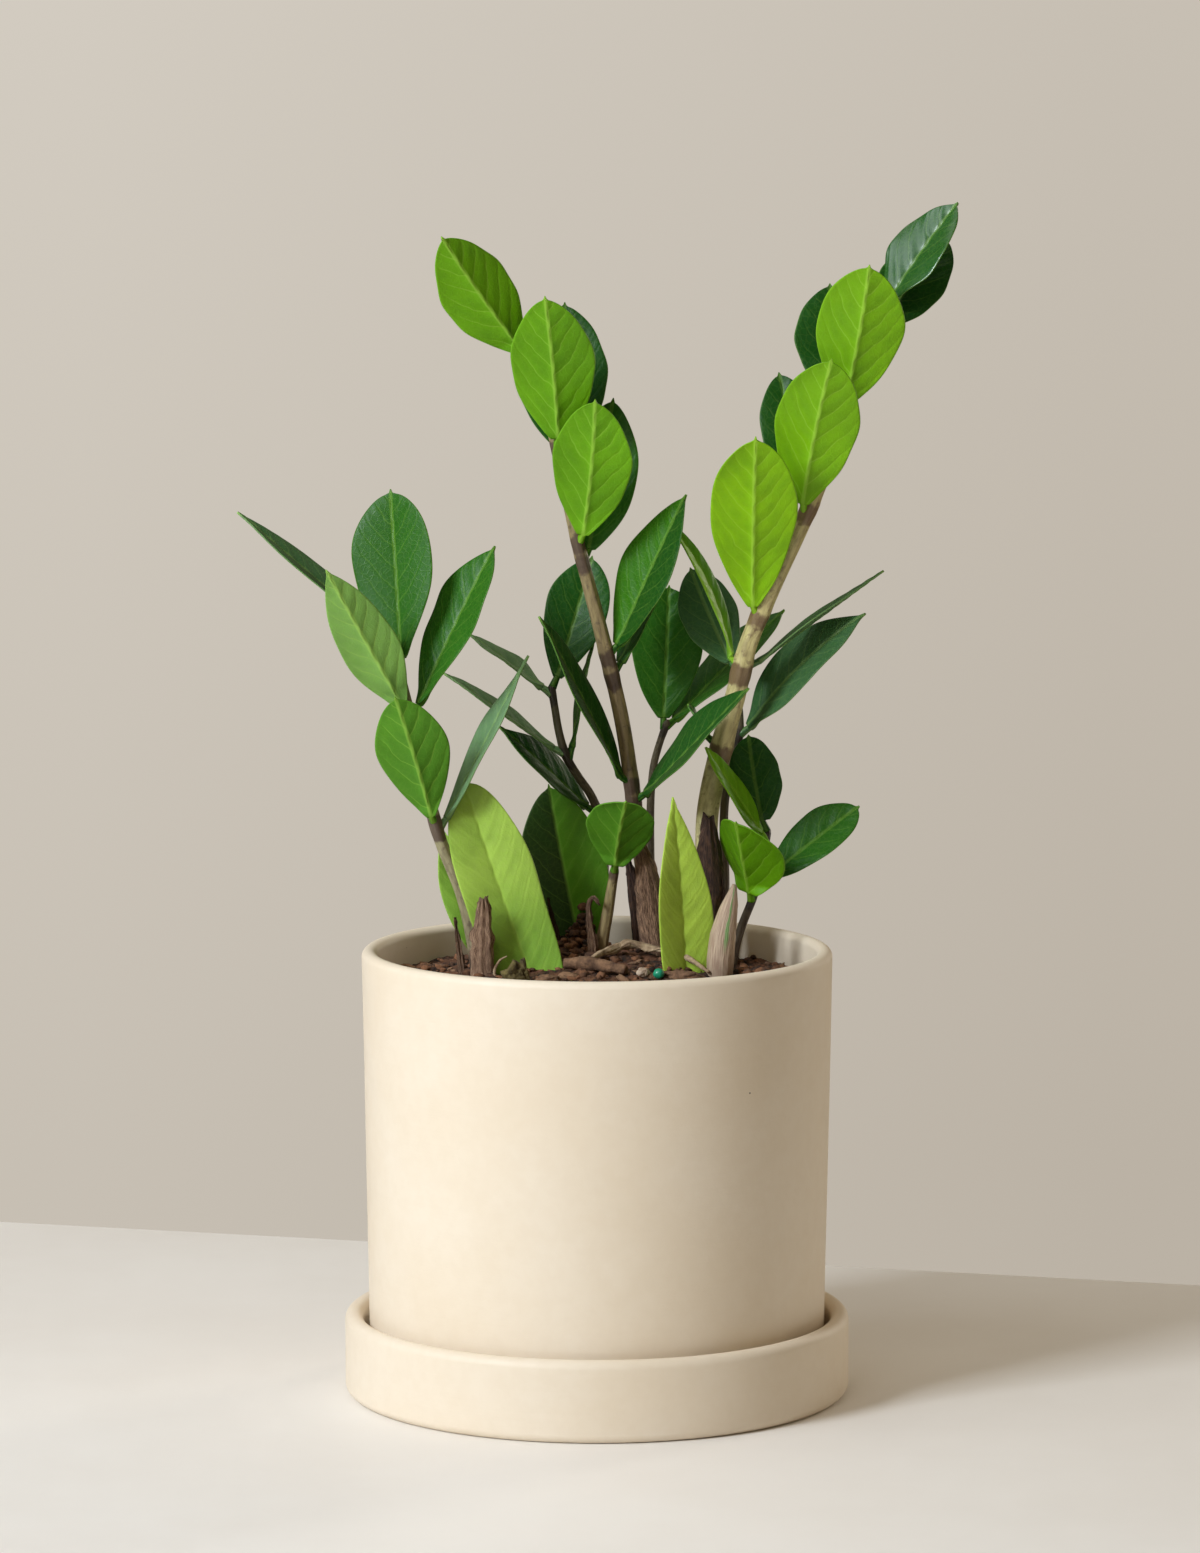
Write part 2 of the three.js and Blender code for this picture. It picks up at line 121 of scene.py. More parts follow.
class Nodes:
    """A node tree, and short ways to add nodes to it."""

    def __init__(self, tree):
        self.tree = tree

    def node(self, kind, inputs=None, **settings):
        """A new node, with settings, and with values or links on some inputs."""
        made = self.tree.nodes.new("ShaderNode" + kind)
        for key, value in settings.items():
            setattr(made, key, value)
        for key, value in (inputs or {}).items():
            self.plug(value, made.inputs[key])
        return made

    def plug(self, value, socket):
        if isinstance(value, bpy.types.NodeSocket):
            self.tree.links.new(value, socket)
        else:
            socket.default_value = value

    def math(self, operation, *values):
        return self.node("Math", dict(enumerate(values)), operation=operation).outputs[0]

    def plus(self, first, second):
        return self.math("ADD", first, second)

    def times(self, first, second):
        return self.math("MULTIPLY", first, second)

    def mapped(self, span, value, **settings):
        """value brought from a low and high to a start and end, and kept inside them."""
        names = ("From Min", "From Max", "To Min", "To Max", "Value")
        inputs = dict(zip(names, (*span, value)))
        return self.node("MapRange", inputs, clamp=True, **settings).outputs[0]

    def mix(self, share, first, second, blend="MIX"):
        inputs = {0: share, 6: first, 7: second}
        return self.node("Mix", inputs, data_type="RGBA", blend_type=blend).outputs[2]


class Shader(Nodes):
    """A new material with a Principled shader, which the nodes feed."""

    def __init__(self, name, **sockets):
        self.material = bpy.data.materials.new(name)
        self.material.use_nodes = True
        super().__init__(self.material.node_tree)
        self.surface = self.tree.nodes["Principled BSDF"]
        for socket, value in sockets.items():
            self.surface.inputs[socket.replace("_", " ")].default_value = value

    def attribute(self, name):
        return self.node("Attribute", attribute_name=name).outputs["Fac"]

    def position(self, scale=(1, 1, 1)):
        place = self.node("TexCoord").outputs["Object"]
        return self.node("Mapping", {"Scale": scale, "Vector": place}).outputs["Vector"]

    def grain(self, across, along):
        """Texture places stretched along a piece, from its turn and along numbers."""
        turn = self.times(self.attribute("turn"), across)
        place = self.times(self.attribute("along"), along)
        return self.node("CombineXYZ", {"X": turn, "Y": place}).outputs[0]

    def noise(self, scale, vector=None, detail=4.0, rough=0.55):
        vector = vector or self.position()
        inputs = {"Scale": scale, "Detail": detail, "Roughness": rough, "Vector": vector}
        return self.node("TexNoise", inputs).outputs["Fac"]

    def cells(self, scale, feature):
        inputs = {"Scale": scale, "Vector": self.position()}
        return self.node("TexVoronoi", inputs, feature=feature).outputs

    def ramp(self, value, low, high, start=0.0, end=1.0):
        return self.mapped((low, high, start, end), value, interpolation_type="SMOOTHSTEP")

    def colour(self, value):
        self.plug(value, self.surface.inputs["Base Color"])

    def rough(self, value):
        self.plug(value, self.surface.inputs["Roughness"])

    def bump(self, height, distance):
        """Adds a bump on top of those already made."""
        inputs = {"Strength": 1.0, "Distance": distance, "Height": height}
        before = self.surface.inputs["Normal"]
        if before.is_linked:
            inputs["Normal"] = before.links[0].from_socket
        self.plug(self.node("Bump", inputs).outputs["Normal"], before)


# ---- Camera, lights and backdrop ----

CAMERA_DISTANCE = 1.559
CAMERA_HEIGHT = 0.352
CAMERA_TILT = 6.61
CAMERA_LENS = 171.0
CAMERA_SHIFT = 0.0024

# Each light: its place, width and height, power and colour. All look at one place.
LIGHTS = {
    "key": ((-1.02, -0.90, 0.92), (0.42, 0.42), 21, (0.85, 0.92, 1.0)),
    "side": ((-0.96, -0.41, 1.30), (0.7, 0.7), 4.2, (0.90, 0.95, 1.0)),
    "front": ((-0.42, -1.25, 1.05), (0.5, 0.5), 2.0, (1.0, 0.95, 0.88)),
    "top": ((-0.2, 0.25, 1.3), (0.9, 0.9), 2.5, (1.0, 0.96, 0.9)),
    "edge": ((1.0, 0.95, 0.5), (0.3, 0.9), 5.0, (1.0, 0.92, 0.80)),
}
LIGHTS_TARGET = (0, 0, 0.15)

# The backdrop darkens to the right and downwards: a direction's part, from, to, and the fall.
BACKDROP_FALL = [("X", -0.09, 0.09, 0.0, 0.5), ("Z", 0.02, -0.18, 0.0, 0.5)]
BACKDROP_BRIGHT = srgb(210, 203, 192)
BACKDROP_DIM = srgb(187, 178, 165)
FILL_COLOUR = srgb(224, 202, 166)
FILL_STRENGTH = 0.235


def add_object(name, data):
    made = bpy.data.objects.new(name, data)
    bpy.context.scene.collection.objects.link(made)
    return made


def make_camera():
    data = bpy.data.cameras.new("camera")
    data.sensor_fit = "HORIZONTAL"
    data.sensor_width = 36.0
    data.lens = CAMERA_LENS
    data.shift_x = CAMERA_SHIFT
    data.clip_start = 0.05
    camera = add_object("camera", data)
    camera.location = (0, -CAMERA_DISTANCE, CAMERA_HEIGHT)
    camera.rotation_euler = (math.radians(90 - CAMERA_TILT), 0, 0)
    bpy.context.scene.camera = camera


def make_lights():
    for name, (place, size, power, colour) in LIGHTS.items():
        data = bpy.data.lights.new(name, "AREA")
        data.shape = "RECTANGLE"
        data.size, data.size_y = size
        data.energy = power
        data.color = colour
        lamp = add_object(name, data)
        lamp.location = place
        aim = Vector(LIGHTS_TARGET) - Vector(place)
        lamp.rotation_euler = aim.to_track_quat("-Z", "Y").to_euler()


def make_world():
    """A plain backdrop for the camera, and a warm fill for everything else."""
    world = bpy.data.worlds.new("studio")
    world.use_nodes = True
    n = Nodes(world.node_tree)
    n.tree.nodes.clear()
    direction = n.node("SeparateXYZ", {0: n.node("TexCoord").outputs["Generated"]})
    falls = [n.mapped(span, direction.outputs[part]) for part, *span in BACKDROP_FALL]
    tone = n.mix(n.plus(*falls), BACKDROP_BRIGHT, BACKDROP_DIM)
    backdrop = n.node("Background", {"Color": tone})
    fill = n.node("Background", {"Color": FILL_COLOUR, "Strength": FILL_STRENGTH})
    seen = n.node("LightPath").outputs["Is Camera Ray"]
    both = n.node("MixShader", {"Fac": seen, 1: fill.outputs[0], 2: backdrop.outputs[0]})
    n.node("OutputWorld", {"Surface": both.outputs[0]})
    bpy.context.scene.world = world
    bpy.context.scene.view_settings.view_transform = "Standard"


# ---- Mesh helpers ----


def add_mesh(name, points, faces, material):
    mesh = bpy.data.meshes.new(name)
    mesh.from_pydata([tuple(p) for p in points], [], faces)
    mesh.validate()
    mesh.materials.append(material)
    return add_object(name, mesh)


def add_piece(name, points, faces, material, attributes=None):
    """A new mesh piece that rides on the one body. attributes are one number per point."""
    piece = add_mesh(name, points, faces, material)
    mesh = piece.data
    for key, values in (attributes or {}).items():
        layer = mesh.attributes.new(key, "FLOAT", "POINT")
        layer.data.foreach_set("value", np.asarray(values, dtype=np.float32))
    mesh.polygons.foreach_set("use_smooth", [True] * len(mesh.polygons))
    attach(piece, BODY)
    return piece


def ring_faces(low, high, around):
    """Faces between two rings of points, whose first points are low and high."""
    pairs = [(i, (i + 1) % around) for i in range(around)]
    return [(low + i, low + j, high + j, high + i) for i, j in pairs]


def loft_faces(rows, around):
    """Faces of a closed body made of rows of points round it, with a point at each end."""
    faces = []
    for low in range(0, (rows - 1) * around, around):
        faces += ring_faces(low, low + around, around)
    first, last = rows * around, rows * around + 1
    top = first - around
    for i in range(around):
        j = (i + 1) % around
        faces.append((first, j, i))
        faces.append((last, top + i, top + j))
    return faces


def loft(rings):
    """Points and faces of a closed body through rings of points, as arrays of one length."""
    rings = np.asarray(rings)
    rows, around = rings.shape[:2]
    points = np.vstack([rings.reshape(-1, 3), rings[0].mean(0), rings[-1].mean(0)])
    return points, loft_faces(rows, around)


def each_ring(values, around):
    """A number for each ring of a loft, given to all of its points and to its two ends."""
    return np.concatenate([np.repeat(values, around), [values[0], values[-1]]])


def circle(radius, sides):
    """Places [x, y] on a circle round the axis."""
    turns = [2 * math.pi * k / sides for k in range(sides)]
    return [(radius * math.cos(turn), radius * math.sin(turn)) for turn in turns]


def unit(vector):
    return vector / np.linalg.norm(vector)


def distances(points):
    """How far along a line each of its points is."""
    return np.concatenate([[0], np.cumsum(np.linalg.norm(np.diff(points, axis=0), axis=1))])


def smoothed_path(points, step):
    """Evenly spaced points along a smooth curve through some points, and their distances."""
    points = np.asarray(points, dtype=float)
    padded = np.vstack([2 * points[0] - points[1], points, 2 * points[-1] - points[-2]])
    fine = []
    for i in range(1, len(padded) - 2):
        a, b, c, d = padded[i - 1:i + 3]
        for t in np.linspace(0, 1, 12, endpoint=False):
            fine.append(0.5 * (2 * b + (c - a) * t + (2 * a - 5 * b + 4 * c - d) * t ** 2
                               + (3 * b - a - 3 * c + d) * t ** 3))
    fine.append(points[-1])
    fine = np.array(fine)
    along = distances(fine)
    count = max(3, int(round(along[-1] / step)) + 1)
    wanted = np.linspace(0, along[-1], count)
    return np.stack([np.interp(wanted, along, fine[:, k]) for k in range(3)], axis=1), wanted


def path_frames(path):
    """Two directions square to a path at each of its points, which turn as little as can be."""
    tangents = np.gradient(path, axis=0)
    tangents /= np.linalg.norm(tangents, axis=1)[:, None]
    side = unit(np.cross(tangents[0], (0.0, 1.0, 0.1)))
    sides = []
    for tangent in tangents:
        side = unit(side - tangent * side.dot(tangent))
        sides.append(side)
    sides = np.array(sides)
    return tangents, sides, np.cross(tangents, sides)


def rod_rings(path, radii, bumps, sides=STEM_SIDES):
    """Rings of points round a path. bumps(ring, turns) adds to the ring's radius."""
    _, across, up = path_frames(path)
    turns = np.linspace(0, 2 * math.pi, sides, endpoint=False)
    rings = []
    for i, point in enumerate(path):
        radius = radii[i] + bumps(i, turns)
        rings.append(point + np.outer(np.cos(turns) * radius, across[i])
                     + np.outer(np.sin(turns) * radius, up[i]))
    return rings


# ---- Reading the CAD plant ----


def merged_points(node):
    """A CAD node's points with doubles joined, and its edges as pairs of them."""
    mesh = nodes[node].data
    points = np.array([v.co for v in mesh.vertices])
    keys = np.round(points / (0.01 * MM)).astype(int)
    _, first, index = np.unique(keys, axis=0, return_index=True, return_inverse=True)
    index = index.ravel()
    edges = {tuple(sorted((index[a], index[b]))) for a, b in (e.vertices for e in mesh.edges)}
    return points[first], [edge for edge in edges if edge[0] != edge[1]]


def read_rod(node):
    """The middle line and radii of a CAD stem, from its foot up."""
    points, edges = merged_points(node)
    near = {i: set() for i in range(len(points))}
    for a, b in edges:
        near[a].add(b)
        near[b].add(a)
    caps = [i for i in near if len(near[i]) == 8]
    start = min(caps, key=lambda i: points[i][2])
    seen, level = {start}, {start}
    middles, radii = [], []
    while True:
        level = {j for i in level for j in near[i]} - seen
        if len(level) < 3:
            break
        seen |= level
        ring = points[sorted(level)]
        middles.append(ring.mean(0))
        radii.append(np.linalg.norm(ring - ring.mean(0), axis=1).mean())
    return np.array(middles), np.array(radii)


def smoothed_rod(node):
    """A CAD stem's middle line in small steps, with their distances from its foot and radii."""
    middles, radii = read_rod(node)
    path, along = smoothed_path(middles, STEM_STEP)
    known = distances(middles)
    return path, along, np.interp(along, known * along[-1] / known[-1], radii)


def farthest_pair(points):
    """Which two points are furthest apart, and how far."""
    gaps = np.linalg.norm(points[:, None] - points[None], axis=2)
    return *np.unravel_index(gaps.argmax(), gaps.shape), gaps.max()


def cad_outline(share):
    """A CAD blade's half width at a share of its length, as a share of its greatest."""
    return 0.04 + 0.96 * np.sin(np.pi * share ** 0.92) ** 0.8


class Blade:
    """The place and size of a CAD leaf or sheath."""

    def __init__(self, node):
        points, _ = merged_points(node)
        first, second, _ = farthest_pair(points)
        if points[first][2] > points[second][2]:
            first, second = second, first
        self.base, self.tip = points[first], points[second]
        self.length = np.linalg.norm(self.tip - self.base)
        self.along = (self.tip - self.base) / self.length
        shares = (points - self.base) @ self.along / self.length
        half_ring = CAD_LEAF_RINGS // 2
        ring = points[np.abs(shares * CAD_LEAF_RINGS - half_ring) < 0.2]
        ring = ring - self.base - np.outer((ring - self.base) @ self.along, self.along)
        left, right, width = farthest_pair(ring)
        across = unit(ring[right] - ring[left])
        up = np.cross(self.along, across)
        edge = (ring[left] + ring[right]) / 2
        inner = [p for p in ring if abs((p - edge) @ across) < 0.1 * width]
        if (edge - np.mean(inner, axis=0)) @ up < 0:
            across, up = -across, -up
        share = half_ring / CAD_LEAF_RINGS
        bow = max(p @ up for p in inner) - CAD_LEAF_THICKNESS / 2
        self.across, self.up = across, up
        self.half_width = width / 2 / cad_outline(share)
        self.arch = bow / (4 * share * (1 - share))
        self.fold = math.atan2(edge @ up - bow, width / 2)


# ---- Leaves ----

# Each tone: the colour of a leaf's upper side, then of its underside. A third colour is for the
# upper side of the half on the minus side of its across direction: painted light and shade,
# that half of the fold drawn lighter or darker than the other as light falls on it.
LEAF_TONES = {
    "young": ((112, 172, 14), (138, 192, 12)),
    "spring": ((88, 152, 14), (122, 176, 12)),
    "fresh": ((62, 130, 14), (106, 164, 10)),
    "green": ((48, 112, 16), (90, 148, 38)),
    "pale": ((92, 150, 60), (132, 178, 88)),
    "mature": ((42, 96, 20), (70, 132, 36)),
    "old": ((28, 76, 24), (48, 98, 40)),
    "dusty": ((62, 98, 62), (98, 128, 92)),
    "silver": ((112, 146, 108), (112, 140, 100)),
    "glossy": ((24, 82, 26), (70, 132, 36)),
    "yellow": ((178, 214, 92), (176, 206, 80)),
    "sunny": ((196, 230, 90), (186, 216, 80)),
    # Painted light and shade: each of these three tones draws one half of the blade lighter than the
    # other.
    "lit": ((56, 116, 12), (70, 132, 36), (24, 72, 16)),
    "bright_edge": ((146, 200, 50), (96, 150, 40), (98, 160, 34)),
    "shaded": ((50, 70, 34), (70, 120, 40), (88, 142, 30)),
}

# Each leaf of a shoot from its lowest up, then those that grow from the soil: its tone,
# where along it is widest, and how full it is (a lower number is fuller) to base and to tip.
LEAF_LOOKS = {
    "left_leaf": [
        ("yellow", 0.5, 0.8, 0.7), ("green", 0.58, 0.95, 0.6), ("silver", 0.45, 1.0, 1.0),
        ("pale", 0.45, 0.8, 0.75), ("mature", 0.62, 1.0, 0.75), ("dusty", 0.5, 0.9, 0.9),
        ("mature", 0.62, 0.9, 0.5),
    ],
    "back_left_leaf": [
        ("old", 0.5, 0.9, 0.9), ("silver", 0.5, 0.9, 0.8), ("old", 0.5, 0.9, 0.9),
        ("silver", 0.5, 0.9, 0.8), ("old", 0.6, 0.85, 0.6),
    ],
    "small_middle_leaf": [("green", 0.6, 0.7, 0.5)],
    "middle_leaf": [
        ("old", 0.5, 0.85, 0.85), ("old", 0.5, 0.85, 0.9), ("old", 0.5, 0.85, 0.8),
        ("lit", 0.5, 0.85, 0.75), ("mature", 0.5, 0.8, 0.65), ("fresh", 0.56, 0.8, 0.6),
        ("old", 0.5, 0.8, 0.6), ("fresh", 0.54, 0.75, 0.6), ("fresh", 0.52, 0.85, 0.65),
    ],
    "back_middle_leaf": [("mature", 0.6, 0.8, 0.5), ("mature", 0.55, 0.9, 0.7)],
    "right_leaf": [
        ("old", 0.56, 0.9, 0.7), ("dusty", 0.55, 0.8, 0.6), ("dusty", 0.5, 0.9, 0.9),
        ("bright_edge", 0.5, 0.9, 0.9), ("young", 0.62, 0.8, 0.55), ("old", 0.55, 0.8, 0.6),
        ("spring", 0.58, 0.78, 0.55), ("old", 0.55, 0.8, 0.6), ("spring", 0.58, 0.78, 0.58),
        ("old", 0.55, 0.8, 0.6), ("old", 0.52, 0.8, 0.6), ("glossy", 0.5, 0.85, 0.7),
    ],
    "back_right_leaf": [("dusty", 0.5, 0.9, 0.8)],
    "small_right_leaf": [
        ("fresh", 0.5, 0.7, 0.55), ("mature", 0.62, 0.8, 0.5), ("young", 0.5, 0.9, 0.9),
        ("old", 0.5, 0.7, 0.5),
    ],
    "soil_leaf": [("yellow", 0.6, 0.25, 0.45), ("shaded", 0.55, 0.5, 0.55), ("sunny", 0.42, 0.35, 0.85)],
}

GLOSSY_TONE = "glossy"
GREENER_FOOT_TONE = "yellow"
PATCH_GREEN = (0.01, 0.07, 0.004, 1)
FOOT_GREEN = (0.06, 0.26, 0.02, 1)
GRAIN_GREEN = (0.5, 0.7, 0.1, 1)
# Painted shade, darkening the leaf tissue between the side veins.
PAINTED_QUILT_SHADE = (0.02, 0.11, 0.006, 1)
VEIN_GREEN = (0.5, 0.78, 0.12, 1)

# How many times as wide as their CAD blade some leaves are drawn.
LEAF_WIDTHS = {
    "soil_leaf_1": 1.1,
    "soil_leaf_3": 1.06,
    "right_leaf_4": 0.62,
    "back_right_leaf_1": 1.25,
}

# Leaves that stand behind their CAD blade, and how far.
LEAVES_BACK = {"soil_leaf_1": 8 * MM}


def blade_outline(share, widest, base, tip):
    """A leaf's half width at a share of its length, as a part of its greatest."""
    body = min(share / 0.975, 1.0)
    if body < widest:
        return math.sin(0.5 * math.pi * body / widest) ** base
    return math.cos(0.5 * math.pi * (body - widest) / (1 - widest)) ** tip


def leaf_material(tone):
    """Leaf skin with side veins, a pale midrib and edge, patches, fine grain, painted shade between
    the veins, and for some tones painted light and shade on the two halves of the blade.
    """
    upper, lower, *painted_half = (srgb(*colour) for colour in LEAF_TONES[tone])
    glossy = tone == GLOSSY_TONE
    s = Shader("leaf_" + tone, Specular_IOR_Level=0.6 if glossy else 0.18)
    across, along = s.attribute("blade_x"), s.attribute("blade_y")
    top, edge = s.attribute("upper"), s.attribute("edge")
    reach = s.math("ABSOLUTE", across)
    lean = s.plus(s.times(edge, VEIN_EDGE_LEAN), VEIN_LEAN)
    slope = s.times(s.times(reach, VEIN_SLANT / VEIN_SPACING), lean)
    rows = s.math("SUBTRACT", s.math("DIVIDE", along, VEIN_SPACING), slope)
    half = s.times(s.math("GREATER_THAN", across, 0.0), VEIN_OFFSET)
    rows = s.plus(s.plus(rows, half), s.times(s.noise(110, detail=2.0), 0.9))
    off = s.math("ABSOLUTE", s.math("SUBTRACT", s.math("FRACT", rows), 0.5))
    vein = s.times(s.ramp(off, 0.44, 0.5), s.ramp(edge, 0.95, 0.55))
    rib = s.ramp(reach, 0.75 * MM, 0.3 * MM)
    net = s.ramp(s.cells(620, "DISTANCE_TO_EDGE")["Distance"], 0.0, 0.12, 1.0, 0.0)
    # Painted light and shade: one half of the upper side drawn lighter or darker, as light falls on the
    # fold.
    if painted_half:
        upper = s.mix(s.ramp(across, -0.4 * MM, 0.4 * MM), painted_half[0], upper)
    base = s.mix(top, lower, upper)
    base = s.mix(s.times(s.ramp(s.noise(55, detail=3.0), 0.3, 0.7), 0.24), base, PATCH_GREEN)
    if tone == GREENER_FOOT_TONE:
        base = s.mix(s.ramp(along, 48 * MM, 12 * MM, 0.0, 0.45), base, FOOT_GREEN)
    grain = s.ramp(s.noise(900, detail=2.0), 0.25, 0.75, 0.0, 0.12)
    base = s.mix(grain, base, GRAIN_GREEN, "OVERLAY")
    # Painted shade: the tissue between the side veins darkened, as the quilted blade shades it.
    between = s.times(s.ramp(off, 0.42, 0.1), s.ramp(s.noise(180), 0.35, 0.7, 0.0, 0.16))
    base = s.mix(between, base, PAINTED_QUILT_SHADE)
    pale = s.mix(0.45, lower, VEIN_GREEN)
    base = s.mix(s.times(vein, s.ramp(top, 0.0, 1.0, 0.42, 0.16)), base, pale)
    base = s.mix(s.times(net, 0.06), base, pale)
    base = s.mix(s.times(rib, s.ramp(top, 0.0, 1.0, 0.62, 0.25)), base, pale)
    s.colour(s.mix(s.ramp(edge, 0.965, 1.0, 0.0, 0.3), base, pale))
    satin = s.ramp(top, 0.0, 1.0, 0.52, 0.27 if glossy else 0.4)
    s.rough(s.plus(satin, s.ramp(s.noise(300), 0.3, 0.7, -0.05, 0.07)))
    s.bump(s.ramp(off, 0.3, 0.5, 1.0, 0.0), 0.05 * MM)
    if not glossy:
        s.bump(net, 0.02 * MM)
        s.bump(s.noise(1500, detail=2.0), 0.012 * MM)
    return s.material


def petiole(blade, stem_path):
    """Places and directions of a leaf stalk from inside its stem to the blade's base."""
    near = np.linalg.norm(stem_path - blade.base, axis=1).argmin()
    after = stem_path[min(near + 1, len(stem_path) - 1)]
    rising = unit(after - stem_path[max(near - 1, 0)])
    start = stem_path[near] - rising * 1.6 * MM
    elbow = stem_path[near] + (blade.base - stem_path[near]) * 0.75
    end = blade.base + blade.along * PETIOLE_LAP
    rows = []
    for t in np.linspace(0.1, 1.0, 8):
        centre = start * (1 - t) ** 2 + elbow * 2 * t * (1 - t) + end * t * t
        heading = unit((elbow - start) * (1 - t) + (end - elbow) * t)
        across = unit(blade.across - heading * heading.dot(blade.across))
        radius = PETIOLE_RADIUS * (1.25 - 0.35 * t)
        rows.append((centre, across, np.cross(heading, across), radius))
    return rows


def leaf_rings(blade, stem_path, seed, look):
    """Rings of points round a leaf, with the numbers that its material reads.

    Each ring goes over the blade's upper side from edge to edge and back below. u is a
    point's place from edge to edge, -1 to 1, and side is 1 above, -1 below and 0 at an edge.
    The seed sets the small things that make one leaf unlike the next.
    """
    rng = random.Random(seed)
    phases = [rng.uniform(0, 2 * math.pi) for _ in range(3)]
    waves = rng.uniform(1.2, 2.2)
    wave_height = rng.uniform(0.2, 0.5) * MM
    bend = rng.uniform(-0.7, 0.7) * MM
    spread = np.array([-x for x in LEAF_POINTS[:0:-1]] + LEAF_POINTS)
    count = len(spread) - 1
    u = np.concatenate([spread, spread[-2:0:-1]])
    side = np.concatenate([np.ones(count + 1), -np.ones(count - 1)])
    side[[0, count]] = 0
    rings, numbers = [], {"blade_x": [], "blade_y": [], "upper": [], "edge": []}

    def add(centre, across, up, x, z, y):
        rings.append(centre + np.outer(x, across) + np.outer(z, up))
        numbers["blade_x"].append(x)
        numbers["blade_y"].append(np.full(len(x), y))
        numbers["upper"].append((side + 1) / 2)
        numbers["edge"].append(np.abs(u))

    first = 0.0
    if stem_path is not None:
        first = PETIOLE_LAP / blade.length
        for centre, across, up, radius in petiole(blade, stem_path):
            round_z = side * radius * np.sqrt(1 - u ** 2)
            add(centre, across, up, u * radius, round_z, -1.0 * MM)
    for row in np.linspace(0, 1, LEAF_ROWS):
        share = first + (1 - first) * (row - 0.06 * math.sin(2 * math.pi * row))
        half_width = blade.half_width * blade_outline(share, *look)
        if share < 0.4:
            half_width = max(half_width, PETIOLE_RADIUS * 0.8)
        half_width = max(half_width, TIP_HALF_WIDTH + 0.7 * MM * min(1.0, (1 - share) / 0.04))
        flat = min(1.0, (share - first) / 0.1)
        flat = flat * flat * (3 - 2 * flat)
        ruffle = np.sin(2 * math.pi * (waves * 1.7 * share) + phases[2] * np.sign(u))
        x = u * half_width * (1 + 0.018 * ruffle)
        round_z = np.sqrt(np.minimum(1, (1 - np.abs(u)) / 0.06))
        thick = BLADE_EDGE_HALF + (BLADE_HALF - BLADE_EDGE_HALF) * round_z
        thick = np.where(side == 0, 0, thick)
        fade = min(1.0, (1 - share) / 0.12)
        rib = MIDRIB_HEIGHT * (1 - 0.8 * share) * np.exp(-(x / MIDRIB_WIDTH) ** 2)
        groove = GROOVE_DEPTH * np.exp(-(x / GROOVE_WIDTH) ** 2) * fade
        sheet = np.where(side > 0, thick - groove, np.where(side < 0, -thick - rib, 0))
        stalk = side * PETIOLE_RADIUS * 0.9 * round_z
        softened = np.sqrt(x ** 2 + FOLD_SOFTNESS ** 2) - FOLD_SOFTNESS
        lift = math.tan(blade.fold) * softened
        crown = 0.025 * half_width * 4 * np.abs(u) * (1 - np.abs(u))
        phase = np.where(u > 0, phases[0], phases[1])
        wave = np.sin(2 * math.pi * waves * share + phase) * u ** 2 * wave_height
        slant = VEIN_SLANT * np.abs(x) * (VEIN_LEAN + VEIN_EDGE_LEAN * np.abs(u))
        veins = (share * blade.length - slant) / VEIN_SPACING + np.where(u > 0, VEIN_OFFSET, 0)
        quilt = QUILT_HEIGHT * (0.5 - 0.5 * np.cos(2 * math.pi * veins)) * (1 - u ** 4) * fade
        bow = 4 * blade.arch * share * (1 - share)
        aside = bend * 4 * share * (1 - share)
        z = bow + flat * (sheet + lift + crown + wave * fade + quilt) + (1 - flat) * stalk
        centre = blade.base + blade.along * (share * blade.length) + blade.across * aside
        add(centre, blade.across, blade.up, x, z, share * blade.length)
    return rings, {key: np.concatenate(values) for key, values in numbers.items()}


def make_leaves():
    materials = {tone: leaf_material(tone) for tone in LEAF_TONES}
    seed = 0
    for shoot, looks in LEAF_LOOKS.items():
        stem_path = None
        if shoot != "soil_leaf":
            middles, _ = read_rod(shoot.replace("_leaf", "_stem"))
            stem_path, _ = smoothed_path(middles, 1.0 * MM)
        for number, (tone, *look) in enumerate(looks, start=1):
            seed += 1
            node = f"{shoot}_{number}"
            blade = Blade(node)
            blade.half_width *= LEAF_WIDTHS.get(node, 1.0)
            blade.base = blade.base + (0, LEAVES_BACK.get(node, 0.0), 0)
            rings, numbers = leaf_rings(blade, stem_path, seed, look)
            points, faces = loft(rings)
            faces = [face[::-1] for face in faces]
            numbers = {key: np.append(values, values[[0, -1]]) for key, values in numbers.items()}
            piece = add_piece(node + "_blade", points, faces, materials[tone], numbers)
            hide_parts(node)


# ---- Stems and bud ----

STEM_LOOKS = {
    "left_stem": "olive",
    "back_left_stem": "dark",
    "small_middle_stem": "brown",
    "middle_stem": "brown",
    "back_middle_stem": "dark",
    "right_stem": "pale",
    "back_right_stem": "dark",
    "small_right_stem": "dark",
}

# Each look: the colour at a stem's foot, at its top, and of its dark bands and streaks.
STEM_COLOURS = {
    "olive": ((176, 162, 130), (152, 156, 104), (80, 58, 52)),
    "brown": ((126, 100, 72), (166, 152, 102), (66, 46, 38)),
    "pale": ((230, 222, 158), (178, 162, 104), (104, 76, 52)),
    "dark": ((86, 68, 54), (96, 88, 64), (42, 31, 27)),
}


